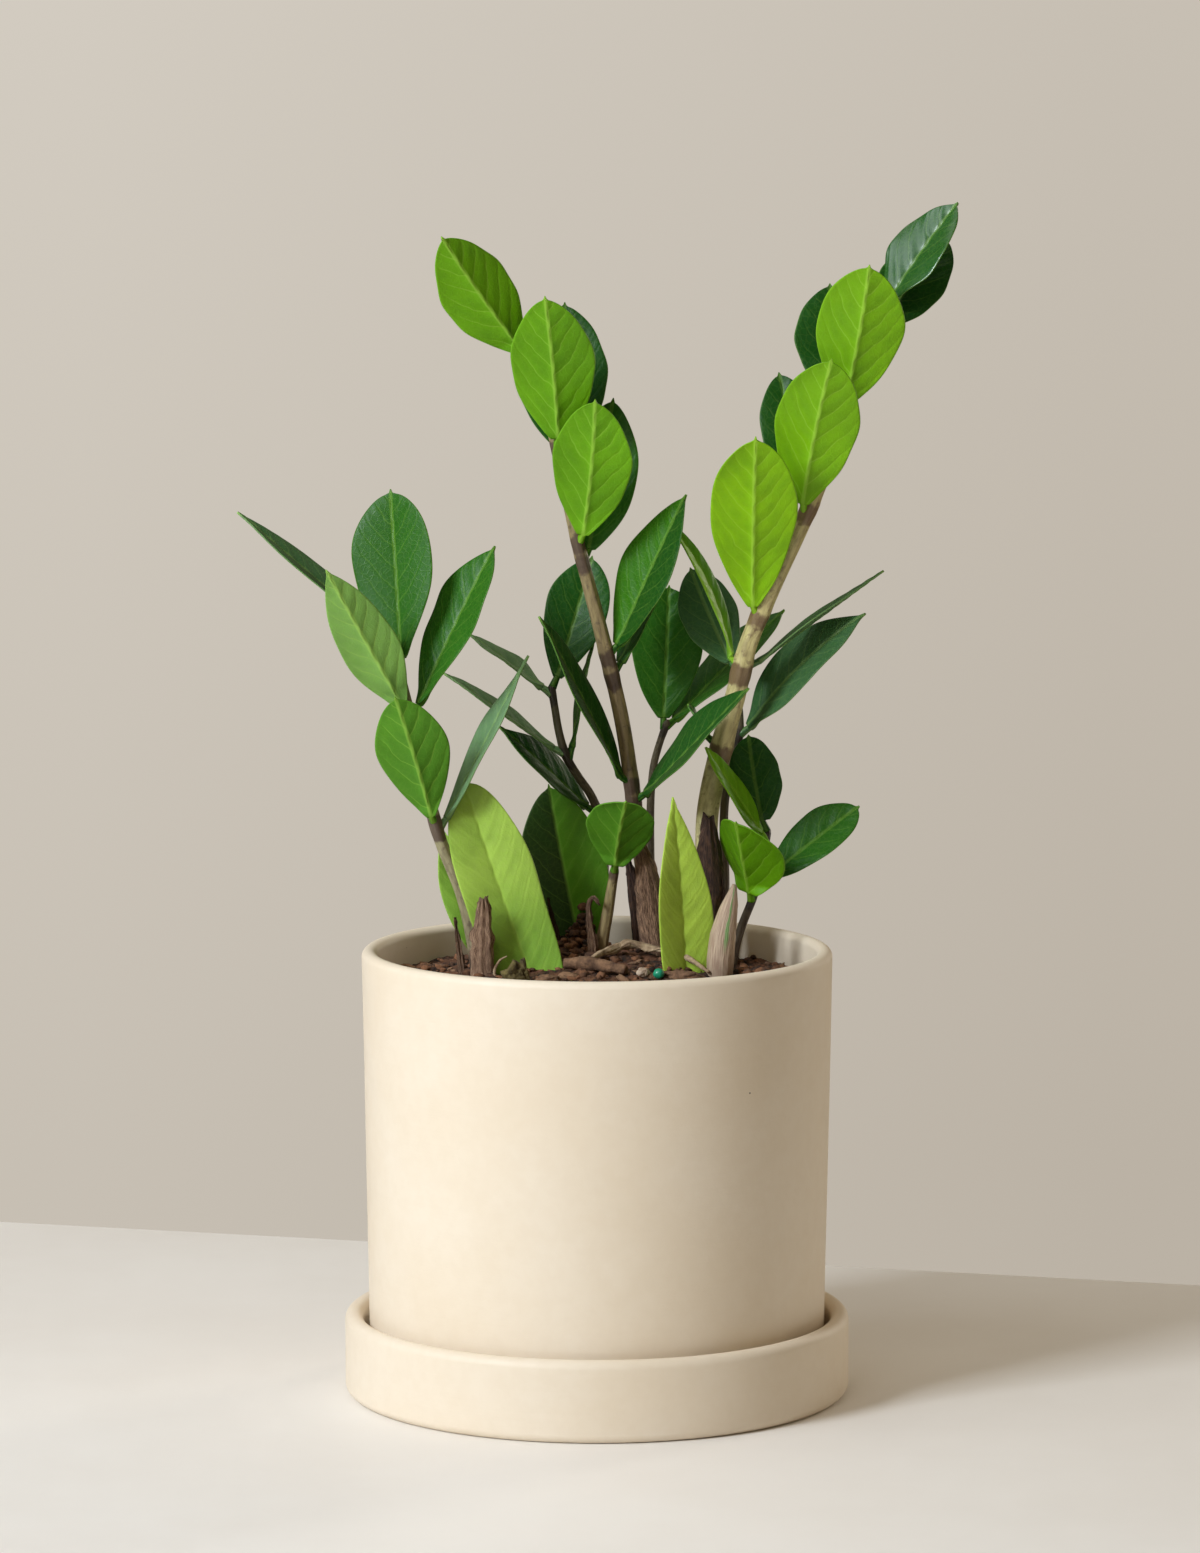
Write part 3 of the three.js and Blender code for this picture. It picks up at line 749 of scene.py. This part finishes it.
def stem_material(look):
    low, high, band = (srgb(*colour) for colour in STEM_COLOURS[look])
    s = Shader("stem_" + look, Coat_Weight=0.1, Coat_Roughness=0.3)
    streaks = s.noise(2.2, s.grain(3.0, 90.0), detail=5.0)
    spots = s.ramp(s.noise(520, detail=3.0), 0.56, 0.68)
    ringed = s.plus(s.attribute("band"), s.ramp(s.noise(260), 0.2, 0.8, -0.28, 0.28))
    base = s.mix(s.attribute("share"), low, high)
    base = s.mix(s.ramp(streaks, 0.35, 0.7, 0.0, 0.5), base, band)
    base = s.mix(s.times(spots, 0.5), base, band)
    base = s.mix(s.times(s.ramp(ringed, 0.35, 0.7), 0.85), base, band)
    s.colour(base)
    s.rough(s.ramp(s.noise(400), 0.3, 0.7, 0.38, 0.55))
    s.bump(streaks, 0.25 * MM)
    s.bump(s.noise(1400), 0.05 * MM)
    return s.material


def stem_piece(node, material, leaf_bases):
    """A stem with a swollen joint and a dark band below each leaf."""
    path, along, size = smoothed_rod(node)
    joints = [along[np.linalg.norm(path - base, axis=1).argmin()] for base in leaf_bases]
    band, swell = np.zeros(len(along)), np.zeros(len(along))
    for joint in joints:
        band = np.maximum(band, np.exp(-((along - joint + 2.0 * MM) / (3.0 * MM)) ** 2))
        swell += np.exp(-((along - joint + 0.6 * MM) / (2.4 * MM)) ** 2)
    size = size * (1 + 0.09 * np.minimum(swell, 1.3))
    ends = np.minimum(1.0, (along[-1] - along) / (1.6 * MM))
    size = size * np.sqrt(np.maximum(ends * (2 - ends), 0.02))

    def bumps(i, turns):
        return size[i] * (0.05 * np.cos(5 * turns + along[i] / (14 * MM)) + 0.03 * np.cos(9 * turns))

    points, faces = loft(rod_rings(path, size, bumps))
    around = 1 - np.abs(np.linspace(0, 2 * math.pi, STEM_SIDES, endpoint=False) / math.pi - 1)
    numbers = {"along": along, "band": band, "share": np.clip(along / along[-1], 0, 1)}
    numbers = {key: each_ring(values, STEM_SIDES) for key, values in numbers.items()}
    numbers["turn"] = np.append(np.tile(around, len(along)), [0, 0])
    piece = add_piece(node + "_stalk", points, faces, material, numbers)
    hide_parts(node)


def make_stems():
    materials = {look: stem_material(look) for look in STEM_COLOURS}
    for node, look in STEM_LOOKS.items():
        shoot = node.replace("_stem", "_leaf")
        bases = [Blade(f"{shoot}_{n + 1}").base for n in range(len(LEAF_LOOKS[shoot]))]
        stem_piece(node, materials[look], bases)


def bud_material():
    s = Shader("bud_skin")
    fibres = s.noise(3.0, s.grain(9.0, 60.0), detail=6.0)
    base = s.mix(s.ramp(fibres, 0.35, 0.7), srgb(172, 144, 122), srgb(208, 186, 158))
    edge = s.math("ABSOLUTE", s.math("SUBTRACT", s.attribute("turn"), 0.56))
    green = s.ramp(s.plus(edge, s.ramp(s.noise(350), 0.2, 0.8, -0.03, 0.03)), 0.05, 0.02)
    green = s.times(green, s.ramp(s.attribute("share"), 0.45, 0.6))
    base = s.mix(s.times(green, 0.8), base, srgb(112, 168, 92))
    foot = s.ramp(s.attribute("share"), 0.5, 0.25)
    s.colour(s.mix(s.times(foot, 0.45), base, srgb(96, 74, 56)))
    s.rough(s.ramp(fibres, 0.3, 0.7, 0.5, 0.7))
    s.bump(fibres, 0.35 * MM)
    return s.material


def make_bud():
    path, along, size = smoothed_rod("right_bud")
    turns = np.linspace(0, 2 * math.pi, STEM_SIDES, endpoint=False)

    def bumps(i, turns):
        lap = np.mod(turns - 1.9 - along[i] / (30 * MM), 2 * math.pi) / (2 * math.pi)
        return 0.4 * MM * lap * min(1.0, size[i] / (2 * MM)) + 0.05 * MM * np.cos(11 * turns)

    points, faces = loft(rod_rings(path, size, bumps))
    numbers = {
        "along": each_ring(along, STEM_SIDES),
        "share": each_ring(along / along[-1], STEM_SIDES),
        "turn": np.append(np.tile(turns / math.pi, len(along)), [0, 0]),
    }
    piece = add_piece("closed_bud", points, faces, bud_material(), numbers)
    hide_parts("right_bud")


# ---- Dry sheaths ----

SHEET_COLUMNS = 22
SHEET_HALF = 0.17 * MM

# How much wider than its CAD blade a sheath is drawn, and how far in front of it.
SHEATH_WIDER = 1.35
SHEATH_FORWARD = {"left": 6 * MM, "middle": 0.0, "right": 2 * MM}


def sheath_material(name, pale, dark):
    s = Shader(name)
    fibres = s.noise(9.0, s.grain(1.0, 40.0), detail=6.0, rough=0.7)
    base = s.mix(s.ramp(fibres, 0.42, 0.6), dark, pale)
    s.colour(s.mix(s.ramp(s.noise(240), 0.45, 0.7, 0.0, 0.6), base, dark))
    s.rough(0.82)
    s.bump(fibres, 0.5 * MM)
    return s.material


def curled_sheet(name, path, widths, wrap, facing, material, seed, ragged=0.8):
    """A thin dry sheet along a path, curled across its width, with torn edges.

    widths are half widths from foot to tip, wrap is how far it curls each way in degrees,
    and facing is the direction that its hollow side looks. c runs across the sheet and back.
    """
    rng = random.Random(seed)
    shift = rng.uniform(0, 50)
    path, along = smoothed_path(path, 0.8 * MM)
    tangents = np.gradient(path, axis=0)
    c = np.linspace(-1, 1, SHEET_COLUMNS)
    side = np.concatenate([np.ones(SHEET_COLUMNS), -np.ones(SHEET_COLUMNS)])
    c = np.concatenate([c, c[::-1]])
    rings = []
    for i, centre in enumerate(path):
        share = along[i] / along[-1]
        tangent = unit(tangents[i])
        hollow = unit(np.array(facing) - tangent * tangent.dot(facing))
        across = np.cross(tangent, hollow)
        half = np.interp(share, np.linspace(0, 1, len(widths)), widths)
        tear = [noise.noise((share * 9 + shift, s, 0)) for s in (1.3, 7.7)]
        reach = c * half * (1 + ragged * 0.35 * np.where(c > 0, tear[0], tear[1]) * (0.6 + 1.6 * share))
        curl = math.radians(wrap) * (0.75 + 0.25 * share)
        radius = half / curl
        angle = reach / radius
        ripple = np.array([noise.noise((k * 6 + shift, share * 2.5, 4)) for k in c])
        ridge = 0.22 * MM * np.cos(angle * 11 + shift) + 0.5 * MM * ripple
        out = radius + ridge - side * SHEET_HALF * (1 - 0.6 * np.abs(c))
        x, z = np.sin(angle) * out, radius - np.cos(angle) * out
        frayed = np.array([noise.noise((k * 3.5 + shift, 2.2, 6)) for k in c]) * 0.12 * along[-1]
        shift_up = np.outer(frayed * share ** 4 * ragged, tangent)
        rings.append(centre + np.outer(x, across) + np.outer(z, hollow) + shift_up)
    points, faces = loft(rings)
    numbers = {
        "turn": np.append(np.tile(c * 3 + shift, len(path)), [0, 0]),
        "along": each_ring(along, len(c)),
    }
    piece = add_piece(name, points, faces, material, numbers)
    return piece


def make_sheaths():
    pale = sheath_material("sheath_pale", srgb(206, 170, 138), srgb(108, 78, 58))
    brown = sheath_material("sheath_brown", srgb(172, 136, 106), srgb(88, 62, 46))
    dark = sheath_material("sheath_dark", srgb(104, 74, 56), srgb(48, 32, 25))
    looks = {
        "left": (pale, 60, 5, [0.85, 0.85, 0.85, 0.8, 0.7, 0.35]),
        "middle": (brown, 100, 6, [0.9, 1.15, 1.2, 1.1, 0.8, 0.15]),
        "right": (dark, 95, 7, [0.9, 1.1, 1.2, 1.2, 0.95, 0.35]),
    }
    for place, (material, wrap, seed, shares) in looks.items():
        blade = Blade(place + "_dry_sheath")
        widths = [SHEATH_WIDER * share * blade.half_width for share in shares]
        forward = np.array([0, -SHEATH_FORWARD[place], 0])
        path = [forward + blade.base + (blade.tip - blade.base) * t for t in np.linspace(0, 1, 6)]
        piece = curled_sheet(place + "_sheath_skin", path, widths, wrap, (0.1, 1.0, 0.05), material, seed)
        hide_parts(place + "_dry_sheath")
    return {"brown": brown, "dark": dark}


# ---- Pot and saucer ----


def ware_material():
    """Matte cream ware: soft mottling, sparse dark pinholes and faint turning marks."""
    s = Shader("cream_ware", Coat_Weight=0.04, Coat_Roughness=0.4)
    base = s.mix(s.ramp(s.noise(22, detail=3.0), 0.3, 0.7), srgb(234, 221, 201), srgb(230, 215, 192))
    base = s.mix(s.ramp(s.noise(260, detail=2.0), 0.3, 0.7, 0.0, 0.12), base, srgb(217, 198, 170))
    dots = s.cells(95, "F1")
    rare = s.node("SeparateColor")
    s.plug(dots["Color"], rare.inputs[0])
    chosen = s.math("GREATER_THAN", rare.outputs[0], 0.9)
    size = s.times(s.plus(rare.outputs[1], 0.5), 0.05)
    dot = s.times(s.math("LESS_THAN", dots["Distance"], size), chosen)
    s.colour(s.mix(s.times(dot, 0.9), base, srgb(96, 74, 56)))
    s.rough(s.ramp(s.noise(90), 0.3, 0.7, 0.5, 0.62))
    s.bump(s.noise(1.0, s.position((6, 6, 520)), detail=3.0), 0.05 * MM)
    s.bump(s.noise(700, detail=3.0), 0.035 * MM)
    s.bump(s.times(dot, -1.0), 0.3 * MM)
    return s.material


def arc(centre_r, centre_z, radius, first, last, steps):
    """Profile points on an arc, from one angle to another in degrees."""
    angles = np.radians(np.linspace(first, last, steps + 1))
    return [(centre_r + radius * math.cos(a), centre_z + radius * math.sin(a)) for a in angles]


def filled(profile, step):
    """The profile with points added on its long straight stretches."""
    full = []
    for (r0, z0), (r1, z1) in zip(profile, profile[1:]):
        count = max(1, int(math.hypot(r1 - r0, z1 - z0) / step))
        full += [(r0 + (r1 - r0) * k / count, z0 + (z1 - z0) * k / count) for k in range(count)]
    return full + [profile[-1]]


def turned(name, profile, material, wobble):
    """A piece turned from a profile. Its two ends meet, or both lie on the axis."""
    on_axis = profile[0][0] == 0
    rows = profile[1:-1] if on_axis else profile[:-1]
    points = []
    for r, z in rows:
        for x, y in circle(1.0, TURNED_SIDES):
            swing = wobble * noise.noise((x * 1.3, y * 1.3, z / 0.06))
            points.append(((r + swing) * x, (r + swing) * y, z))
    if on_axis:
        points += [(0, 0, profile[0][1]), (0, 0, profile[-1][1])]
        return add_piece(name, points, loft_faces(len(rows), TURNED_SIDES), material)
    faces = []
    for row in range(len(rows)):
        after = (row + 1) % len(rows)
        faces += ring_faces(row * TURNED_SIDES, after * TURNED_SIDES, TURNED_SIDES)
    return add_piece(name, points, faces, material)


def make_ware():
    material = ware_material()
    (_, _, pot_base), (rim_radius, _, rim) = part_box("pot")
    foot_radius = rim_radius - POT_TAPER
    lip = POT_WALL / 2
    inside = foot_radius - POT_WALL
    profile = [(DRAIN_RADIUS, pot_base)]
    profile += arc(foot_radius - POT_FOOT_ROUND, pot_base + POT_FOOT_ROUND, POT_FOOT_ROUND, -90, 0, 8)
    profile += arc(rim_radius - lip, rim - lip, lip, 0, 180, 16)
    profile += [(inside, pot_base + POT_FLOOR), (DRAIN_RADIUS, pot_base + POT_FLOOR)]
    profile.append((DRAIN_RADIUS, pot_base))
    pot = turned("pot_body", filled(profile, PROFILE_STEP), material, POT_WOBBLE)
    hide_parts("pot")

    (_, _, base), (radius, _, top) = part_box("saucer")
    lip = SAUCER_WALL / 2
    foot = radius - SAUCER_FOOT_ROUND
    profile = [(0, base)]
    profile += arc(foot, base + SAUCER_FOOT_ROUND, SAUCER_FOOT_ROUND, -90, 0, 8)
    profile += arc(radius - lip, top - lip, lip, 0, 180, 16)
    profile += [(radius - SAUCER_WALL, SAUCER_FLOOR), (0, SAUCER_FLOOR)]
    saucer = turned("saucer_body", filled(profile, PROFILE_STEP), material, SAUCER_WOBBLE)
    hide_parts("saucer")


# ---- Soil and litter ----

# The colours of each litter material, pale and dark.
LITTER_COLOURS = {
    "crumbs": ((136, 92, 62), (38, 23, 15)),
    "bark": ((150, 114, 84), (66, 44, 32)),
    "pale_root": ((196, 172, 138), (120, 92, 68)),
    "pale_stone": ((214, 196, 174), (150, 120, 96)),
    "old_stub": ((122, 108, 60), (52, 38, 24)),
}

SOIL_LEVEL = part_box("pot")[1][2] - SOIL_BELOW_RIM


def soil_height(x, y):
    """The soil's surface: a low mound, with lumps, clods, crumbs and grit on it."""
    away = math.hypot(x - SOIL_MOUND_PLACE[0], y - SOIL_MOUND_PLACE[1]) / SOIL_MOUND_RADIUS
    mound = SOIL_MOUND_HEIGHT * math.exp(-away * away)
    height = SOIL_LEVEL + mound
    for size, spacing, shift in SOIL_LUMPS:
        height += size * noise.noise((x / spacing, y / spacing, shift))
    return height


def soil_material():
    s = Shader("potting_soil")
    clods = s.noise(160, detail=6.0, rough=0.65)
    base = s.mix(s.ramp(clods, 0.38, 0.62), srgb(34, 20, 13), srgb(122, 80, 54))
    base = s.mix(s.ramp(s.noise(900, detail=3.0), 0.6, 0.72), base, srgb(140, 102, 74))
    s.colour(s.mix(s.ramp(s.noise(60), 0.5, 0.75, 0.0, 0.5), base, srgb(36, 22, 15)))
    s.rough(0.94)
    s.bump(s.noise(1100, detail=5.0, rough=0.7), 1.1 * MM)
    return s.material


def make_soil():
    (_, _, base), (radius, _, _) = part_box("soil")
    rings = []
    for ring in range(1, SOIL_RINGS + 1):
        places = circle(radius * ring / SOIL_RINGS, SOIL_SIDES)
        rings.append([(x, y, soil_height(x, y)) for x, y in places])
    for drop, share in ((6 * MM, 0.998), (SOIL_LEVEL - base, 0.96)):
        places = circle(radius * share, SOIL_SIDES)
        rings.append([(x, y, SOIL_LEVEL - drop) for x, y in places])
    points, faces = loft(rings)
    points[-2:] = (0, 0, soil_height(0, 0)), (0, 0, base)
    faces = [(face[0], *face[:0:-1]) for face in faces]
    piece = add_piece("soil_plug", points, faces, soil_material())
    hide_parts("soil")


def ball(level):
    """Points and faces of a small round body, to be pressed out of shape."""
    shape = bmesh.new()
    bmesh.ops.create_icosphere(shape, subdivisions=level, radius=1.0)
    points = np.array([v.co for v in shape.verts])
    faces = [tuple(v.index for v in f.verts) for f in shape.faces]
    shape.free()
    return points, faces


def lump(points, size, roughness, seed):
    """A ball's points as an uneven lump of a size, [x, y, z] half sizes."""
    shifts = np.array([noise.noise(Vector(p) * 1.6 + Vector((seed, 0, 0))) for p in points])
    fine = np.array([noise.noise(Vector(p) * 4.5 + Vector((0, seed, 0))) for p in points])
    return points * (1 + roughness * (shifts + 0.5 * fine))[:, None] * np.array(size)


def turned_about(points, heading, tilt):
    c, s = math.cos(heading), math.sin(heading)
    ct, st = math.cos(tilt), math.sin(tilt)
    level = np.array([[c, -s, 0], [s, c, 0], [0, 0, 1]])
    tip = np.array([[ct, 0, -st], [0, 1, 0], [st, 0, ct]])
    return points @ (level @ tip).T


def crumb_material(name):
    s = Shader(name)
    pale, dark = (srgb(*colour) for colour in LITTER_COLOURS[name])
    fine = s.ramp(s.noise(700), 0.25, 0.75, -0.3, 0.3)
    s.colour(s.mix(s.plus(s.attribute("shade"), fine), dark, pale))
    s.rough(0.9)
    s.bump(s.noise(1600), 0.4 * MM)
    return s.material


def bead_material():
    s = Shader("fertiliser_bead", Coat_Weight=0.3)
    s.colour(s.mix(s.ramp(s.noise(500), 0.3, 0.7), srgb(16, 132, 96), srgb(30, 160, 120)))
    s.rough(s.ramp(s.noise(900), 0.3, 0.7, 0.25, 0.4))
    s.bump(s.noise(800), 0.1 * MM)
    return s.material


def heap(name, count, sizes, long, spots, material, seed):
    """Many small lumps as one piece, lying all over the soil or gathered round some spots.

    sizes are in mm, long is a lump's length over its width, and each of the spots is x, y,
    spread and height in mm.
    """
    rng = random.Random(seed)
    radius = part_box("soil")[1][0]
    low, high = (value * MM for value in sizes)
    spots = [[value * MM for value in spot] for spot in spots] or [(0, 0, radius - 2 * MM, 0)]
    shape, faces = ball(2)
    points, all_faces, shades = [], [], []
    for number in range(count):
        x, y, spread, rise = spots[number % len(spots)]
        turn, away = rng.uniform(0, 2 * math.pi), spread * math.sqrt(rng.random())
        x, y = x + away * math.cos(turn), y + away * math.sin(turn)
        lift = rise * rng.random() * (1 - away / spread) if rise else 0
        size = rng.uniform(low, high) * (0.5 + rng.random())
        half = (size * long, size * rng.uniform(0.6, 1.0), size * rng.uniform(0.45, 0.8))
        body = turned_about(lump(shape, half, 0.45, rng.uniform(0, 90)),
                            rng.uniform(0, 2 * math.pi), rng.uniform(-0.5, 0.5))
        body = body + np.array([x, y, soil_height(x, y) + lift + half[2] * 0.35])
        start = len(points)
        points.extend(body)
        all_faces += [tuple(i + start for i in face) for face in faces]
        shades += [rng.random()] * len(body)
    piece = add_piece(name, points, all_faces, material, {"shade": shades})


def chunk(name, place, half, heading, tilt, roughness, material, seed):
    """One lump. Its place and half sizes are in mm, heading and tilt in degrees."""
    shape, faces = ball(4)
    body = lump(shape, np.array(half) * MM, roughness, seed)
    body = turned_about(body, math.radians(heading), math.radians(tilt)) + np.array(place) * MM
    shades = [0.5 + 0.4 * noise.noise(Vector(p) * 300) for p in body]
    piece = add_piece(name, body, faces, material, {"shade": shades})


def strand(name, path, radii, knobbly, material, seed):
    """A twig, root or hair through some places, with radii from end to end, all in mm."""
    path, along = smoothed_path(np.array(path) * MM, 0.6 * MM)
    size = np.interp(along / along[-1], np.linspace(0, 1, len(radii)), np.array(radii) * MM)

    def bumps(i, turns):
        knots = noise.noise((along[i] / 0.004, seed, 0))
        knots += 0.5 * noise.noise((along[i] / 0.0015, seed, 9))
        return size[i] * knobbly * (knots + 0.3 * np.cos(4 * turns + along[i] / 0.003))

    points, faces = loft(rod_rings(path, size, bumps, sides=14))
    shades = [0.5 + 0.5 * noise.noise(Vector(p) * 400) for p in points]
    piece = add_piece(name, points, faces, material, {"shade": shades})


def small_sheet(name, path, widths, wrap, facing, material, seed):
    """A curled sheet, its places and half widths in mm."""
    path, widths = np.array(path) * MM, np.array(widths) * MM
    curled_sheet(name, path, widths, wrap, facing, material, seed)


# What lies and stands on the soil: how it is built and its name, what that takes, its
# material and its seed.
LITTER = [
    (heap, "soil_crumbs", 1100, (0.5, 1.3), 1.2, [], "crumbs", 11),
    (heap, "soil_bark_bits", 110, (0.7, 1.3), 2.2, [], "bark", 12),
    (heap, "crumb_clump", 360, (0.7, 1.3), 1.1, [(-6, 33, 7, 11), (-4, 36, 5, 14)], "crumbs", 13),
    (heap, "left_crumbs", 90, (0.7, 1.5), 1.2, [(-45, -6, 10, 2), (-34, -4, 9, 2)], "crumbs", 14),
    (heap, "right_crumbs", 70, (0.7, 1.5), 1.2, [(48, 6, 9, 2)], "crumbs", 15),
    (chunk, "old_stub", (-22.6, -8, 116.8), (3.4, 2.4, 3.8), 20, 10, 0.5, "old_stub", 3.1),
    (chunk, "stub_splinter", (-19.8, -8, 118.2), (0.9, 0.7, 3.6), 0, 12, 0.4, "old_stub", 6.4),
    (chunk, "bark_chip_left", (-13.8, -9, 116.2), (3.2, 1.8, 1.2), 5, 0, 0.4, "bark", 4.2),
    (chunk, "bark_chip_right", (23.2, -2, 116.2), (5.6, 1.8, 1.4), -8, 0, 0.35, "bark", 5.7),
    (strand, "soil_twig", [(-9, 8.2, 118.0), (-4, 6.6, 118.4), (1.5, 4, 118.2), (8, 0.6, 117.3)],
     [1.5, 1.9, 1.8, 1.2], 0.25, "bark", 2.0),
    (strand, "loose_root", [(-4.5, 8.5, 117.4), (1.4, 14.5, 120.3), (5.9, 18.5, 121.4),
                            (10, 19.5, 121.8), (17, 17.2, 120.8), (24.7, 11.4, 119.4),
                            (31, 4.4, 116.2)],
     [0.5, 0.8, 1.1, 0.9, 0.6, 0.6, 0.4], 0.55, "pale_root", 5.0),
    (strand, "loose_root_peel", [(1, 13.8, 119.6), (5.2, 17.6, 120.2), (9.4, 18.6, 122.6),
                                 (14, 18, 120.4), (18, 16, 121.2)],
     [0.3, 0.7, 0.5, 0.7, 0.25], 0.5, "pale_root", 9.0),
    (chunk, "pale_pebble", (12.7, -2.4, 117.2), (1.8, 1.4, 1.4), 15, 0, 0.2, "pale_stone", 1.9),
    (chunk, "root_end", (-4.8, 8.6, 118.6), (1.9, 1.3, 1.3), 40, 0, 0.35, "pale_root", 8.3),
    (chunk, "green_bead", (17.0, -3.4, 117.0), (1.55, 1.5, 1.5), 0, 0, 0.06, "bead", 2.2),
    (small_sheet, "curled_sheath", [(-1.2, 23, 112), (-1.6, 22.5, 120), (-2.2, 22.5, 127),
                                    (-2.6, 22.5, 132), (-1.2, 22, 134.6), (0.2, 21.5, 133.2)],
     [2.2, 2.1, 1.7, 1.3, 0.9, 0.3], 80, (0.6, 1.0, 0.1), "brown", 21),
    (small_sheet, "dark_spike", [(-11.2, 32, 114), (-11.6, 32, 121), (-12.8, 32, 128), (-13.8, 32, 133)],
     [1.6, 1.4, 0.9, 0.15], 90, (0.2, 1.0, 0.0), "dark", 22),
    (small_sheet, "back_sheath", [(12.5, 33, 113), (11.5, 33, 126), (9.5, 32, 139), (8.0, 31, 150)],
     [3.0, 2.8, 2.0, 0.3], 85, (0.2, 1.0, 0.0), "dark", 23),
    (small_sheet, "right_tatter", [(35.2, 25, 113), (35.6, 25, 126), (35.2, 25, 136), (34.4, 25, 142)],
     [1.6, 1.5, 1.2, 0.2], 80, (-0.2, 1.0, 0.0), "dark", 24),
    (small_sheet, "left_strip", [(-37.6, 13.2, 113), (-38.6, 13, 122), (-39.4, 12.6, 130)],
     [1.2, 1.1, 0.2], 60, (0.4, 1.0, 0.0), "brown", 25),
    (strand, "curled_hair", [(-27.6, 1, 114.0), (-28.4, 1, 117.0), (-26.9, 1, 120.0), (-24.9, 1, 121.2)],
     [0.35, 0.4, 0.35, 0.2], 0.25, "pale_root", 7.0),
]


def make_litter(sheaths):
    materials = {name: crumb_material(name) for name in LITTER_COLOURS}
    materials |= {"bead": bead_material(), **sheaths}
    for build, name, *values, material, seed in LITTER:
        build(name, *values, materials[material], seed)


# ---- Table ----

TABLE_HALF_WIDTH = 1.0
TABLE_FRONT = -1.3
TABLE_BACK = 0.1814
TABLE_THICKNESS = 0.03
TABLE_TURN = math.radians(-15)


def make_table():
    """A table top whose back edge runs at a slant behind the pot."""
    s = Shader("table_top")
    s.colour(s.mix(s.ramp(s.noise(9), 0.3, 0.7), srgb(240, 236, 230), srgb(236, 231, 224)))
    s.rough(s.ramp(s.noise(120), 0.3, 0.7, 0.55, 0.65))
    c, n = math.cos(TABLE_TURN), math.sin(TABLE_TURN)
    left, right = -TABLE_HALF_WIDTH, TABLE_HALF_WIDTH
    corners = [(left, TABLE_FRONT), (right, TABLE_FRONT), (right, TABLE_BACK), (left, TABLE_BACK)]
    points = [(x * c - y * n, x * n + y * c, z) for z in (-TABLE_THICKNESS, 0.0) for x, y in corners]
    faces = [(3, 2, 1, 0), (4, 5, 6, 7), (0, 1, 5, 4), (1, 2, 6, 5), (2, 3, 7, 6), (3, 0, 4, 7)]
    table = add_mesh("table", points, faces, s.material)


# ---- The whole scene ----

make_camera()
make_lights()
make_world()
make_table()
make_ware()
make_soil()
make_stems()
make_leaves()
make_bud()
sheath_materials = make_sheaths()
make_litter(sheath_materials)
